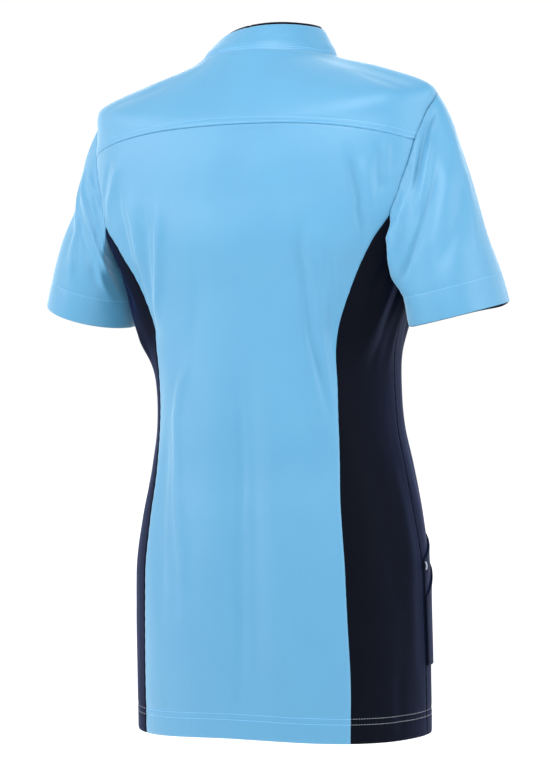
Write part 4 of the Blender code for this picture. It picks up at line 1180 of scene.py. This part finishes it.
def sew(name, lines, thread, **changes):
    size = {**sewing, **changes}
    starts = np.cumsum([0] + [len(line) for line in lines])
    edges = [(i, i + 1) for low, high in zip(starts[:-1], starts[1:]) for i in range(low, high - 1)]
    thing = placedMesh(name, (np.concatenate(lines) * mm).tolist(), edges)
    modifier = thing.modifiers.new("stitches", "NODES")
    modifier.node_group = stitches
    values = {"Pitch": size["pitch"] * mm, "Length": size["length"] * mm, "Thread width": size["thick"] * mm,
              "Unevenness": size["unevenness"], "Seed": size["seed"], "Thread": threadMaterials[thread]}
    for item in stitches.interface.items_tree:
        if item.in_out == "INPUT" and item.name in values:
            modifier[item.identifier] = values[item.name]
    fit(asPlainMesh(thing))


def sewingLine(piece, edge, distance, first=0, last=None):
    # a line on a piece at a distance from one of its edges
    points = piece["points"] + piece["normal"] * sewing["lift"]
    apart = piece["runs"][edge]
    if edge in ("left", "right"):
        points, apart = points.swapaxes(0, 1), apart.T
    if edge in ("top", "right"):
        points, apart = points[::-1], apart[::-1]
    line = [pointsAt((apart[:, c], points[:, c]), distance) for c in range(points.shape[1])]
    return np.array(line)[first:last]


def hemLines(pieces):
    return [sewingLine(piece, "bottom", row) for piece in pieces for row in relief["hemRows"]]


sew("hemStitchesBlue", hemLines([backPanel, frontPanel]), "pale blue thread")
sew("hemStitchesGrey", hemLines(sidesRight + sidesLeft), "grey thread")
# a sleeve's grid ends at its hem, and its line is closed
sleeveRows = [sewingLine(piece, "top", sleeveForm["hemDepth"]) for piece in (sleeveRight, sleeveLeft)]
sew("sleeveStitches", [np.concatenate([line, line[:1]]) for line in sleeveRows], "pale blue thread",
    thick=sewing["finest"])
yokeRows = [sewingLine(backYoke, "bottom", row) for row in backYokeLook["rows"]]
collarRows = [sewingLine(collarPiece, "bottom", row) for row in collar["rows"]]
placketRows = [sewingLine(placketPiece, edge, placket["stitchIn"], first=2) for edge in ("left", "right")]
placketRows += [sewingLine(placketPiece, "bottom", row, first=2, last=-2)
                for row in (placket["stitchIn"], placket["boxHigh"])]
for name, rows in (("yoke", yokeRows), ("collar", collarRows), ("placket", placketRows)):
    sew(name + "Stitches", rows, "pale blue thread", thick=sewing["fine"])
pocketRows = []
for piece in pocketPieces:
    pocketRows += [sewingLine(piece, "top", row) for row in (pockets["hem"], pockets["topRow"])]
    pocketRows += [sewingLine(piece, edge, pockets["rimRow"]) for edge in ("left", "right", "bottom")]
sew("pocketStitches", pocketRows, "navy thread", thick=sewing["fine"])
print("stitches made")

# Buttons
buttons = {
    "rim": ((0.0, 0.0), (4.3, 0.0), (4.9, 0.25), (5.2, 0.8), (5.2, 1.4), (4.95, 1.95), (4.5, 2.2),
            (4.0, 2.15), (3.5, 1.75), (3.0, 1.6), (0.0, 1.6)),
    "seat": 0.25,                   # height over the placket
    "hole": 0.55,
    "holeApart": 1.15,
    "sides": 48,
    "thread": 0.28,
    "threadEnds": 1.2, "threadTop": 1.75, "threadArch": 0.12,
}


def meshFrom(work, name):
    mesh = bpy.data.meshes.new(name)
    work.to_mesh(mesh)
    work.free()
    return mesh


def buttonShape(name):
    work = bmesh.new()
    profile = [work.verts.new((radius * mm, 0, height * mm)) for radius, height in buttons["rim"]]
    line = [work.edges.new(pair) for pair in zip(profile[:-1], profile[1:])]
    bmesh.ops.spin(work, geom=profile + line, cent=(0, 0, 0), axis=(0, 0, 1), angle=2 * math.pi,
                   steps=buttons["sides"])
    bmesh.ops.remove_doubles(work, verts=work.verts[:], dist=1e-6)
    bmesh.ops.recalc_face_normals(work, faces=work.faces[:])
    thing = placed(name, meshFrom(work, "blank"))
    apart, radius = buttons["holeApart"] * mm, buttons["hole"] * mm
    work = bmesh.new()
    for x, y in ((1, 1), (1, -1), (-1, 1), (-1, -1)):
        shift = Matrix.Translation((x * apart, y * apart, 0.0011))
        bmesh.ops.create_cone(work, cap_ends=True, segments=16, radius1=radius, radius2=radius, depth=0.004,
                              matrix=shift)
    cutter = placed("holes", meshFrom(work, "holes"))
    cut = thing.modifiers.new("holes", "BOOLEAN")
    cut.object = cutter
    cut.solver = "EXACT"
    plain = asPlainMesh(thing)
    bpy.data.objects.remove(cutter)
    return plain


def makeButton(number, finish):
    node = "button_%d" % number
    low, high = (np.array(corner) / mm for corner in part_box(node))
    gaps = np.linalg.norm(placketPiece["points"] - (low + high) / 2, axis=-1)
    r, c = np.unravel_index(np.argmin(gaps), gaps.shape)
    out = unit(placketPiece["normal"][r, c])
    seat = placketPiece["points"][r, c] + out * buttons["seat"]
    side = unit(np.cross(out, (1.0, 0.0, 0.0)))
    other = np.cross(out, side)
    plain = buttonShape("button%d" % number)
    plain.data.transform(Matrix.Translation(seat * mm) @ Matrix((side, other, out)).transposed().to_4x4())
    plain.data.shade_smooth()
    plain.data.set_sharp_from_angle(angle=math.radians(35))
    plain.data.materials.clear()
    plain.data.materials.append(finish)
    fit(plain, node)
    apart, foot, top = buttons["holeApart"], buttons["threadEnds"], buttons["threadTop"]
    arch = ((-1, foot), (-0.75, top), (0, top + buttons["threadArch"]), (0.75, top), (1, foot))
    bars = []
    for x in (-apart, apart):
        ends = [seat + side * x + other * y * apart + out * height for y, height in arch]
        bars += zip(ends[:-1], ends[1:])
    return bars


def makeThreadBars(name, bars, thread):
    # thin rods between pairs of points, closed at both ends
    work, radius = bmesh.new(), buttons["thread"] * mm
    for a, b in bars:
        a, b = Vector(a * mm), Vector(b * mm)
        turned = (b - a).to_track_quat("Z", "Y").to_matrix().to_4x4()
        stretched = Matrix.Diagonal((radius, radius, (b - a).length * 0.62, 1))
        bmesh.ops.create_uvsphere(work, u_segments=8, v_segments=6, radius=1.0,
                                  matrix=Matrix.Translation((a + b) / 2) @ turned @ stretched)
    thing = placed(name, meshFrom(work, name))
    thing.data.shade_smooth()
    thing.data.materials.append(threadMaterials[thread])
    fit(thing)


buttonFinish = buttonMaterial()
threadBars = [bar for number in (1, 2, 3) for bar in makeButton(number, buttonFinish)]
makeThreadBars("buttonThread", threadBars, "pale blue thread")
print("buttons made")

# Light and floor: the room is white but for a darker side that faces the back of the tunic, so
# the folds there show by the light from either hand
studio = {
    "floorLevel": -1.5,
    "floorHalf": 30.0,
    "floorTone": "#FFFFFF",
    "floorGlow": 0.4,               # lets the floor run into the background without a line
    "bright": 1.02,
    "dark": 0.62,
    "darkSide": (-0.454, 0.891, -0.1),
    "aim": (0, 0, -0.35),
    "lights": {
        "leftLight": {"place": (2.4, 2.0, 0.8), "size": 1.0, "power": 58},
        "rightLight": {"place": (-3.0, 0.2, 0.3), "size": 1.6, "power": 56},
        "topLight": {"place": (-0.4, 1.3, 0.7), "size": 0.7, "power": 25},
        "frontLight": {"place": (1.6, -2.5, 0.7), "size": 1.6, "power": 30},
    },
}


def makeStudio():
    world = bpy.data.worlds.new("studio")
    world.use_nodes = True
    tree = world.node_tree
    where = addNode(tree, "ShaderNodeTexCoord").outputs["Generated"]
    toward = addNode(tree, "ShaderNodeVectorMath", {"operation": "DOT_PRODUCT"},
                     {0: where, 1: studio["darkSide"]})
    strength = addNode(tree, "ShaderNodeMapRange", {"interpolation_type": "SMOOTHSTEP"},
                       {"Value": toward, "From Min": -0.9, "From Max": 0.9, "To Min": studio["bright"],
                        "To Max": studio["dark"]})
    setSockets(tree.nodes["Background"], {"Color": (1, 1, 1, 1), "Strength": strength})
    scene.world = world
    corners = [(x * studio["floorHalf"], y * studio["floorHalf"], studio["floorLevel"])
               for x, y in ((-1, -1), (1, -1), (1, 1), (-1, 1))]
    floor = placedMesh("floor", corners, faces=[(0, 1, 2, 3)])
    material, shader = newMaterial("matt white paper")
    setSockets(shader, {"Base Color": linear(studio["floorTone"]), "Roughness": 0.9,
                        "Emission Color": (1, 1, 1, 1), "Emission Strength": studio["floorGlow"]})
    floor.data.materials.append(material)
    for name, light in studio["lights"].items():
        data = bpy.data.lights.new(name, "AREA")
        data.energy, data.size = light["power"], light["size"]
        lamp = placed(name, data)
        lamp.location = light["place"]
        aim = Vector(studio["aim"]) - Vector(light["place"])
        lamp.rotation_euler = aim.to_track_quat("-Z", "Y").to_euler()


makeStudio()
scene.view_settings.view_transform = "Standard"
print("studio made")
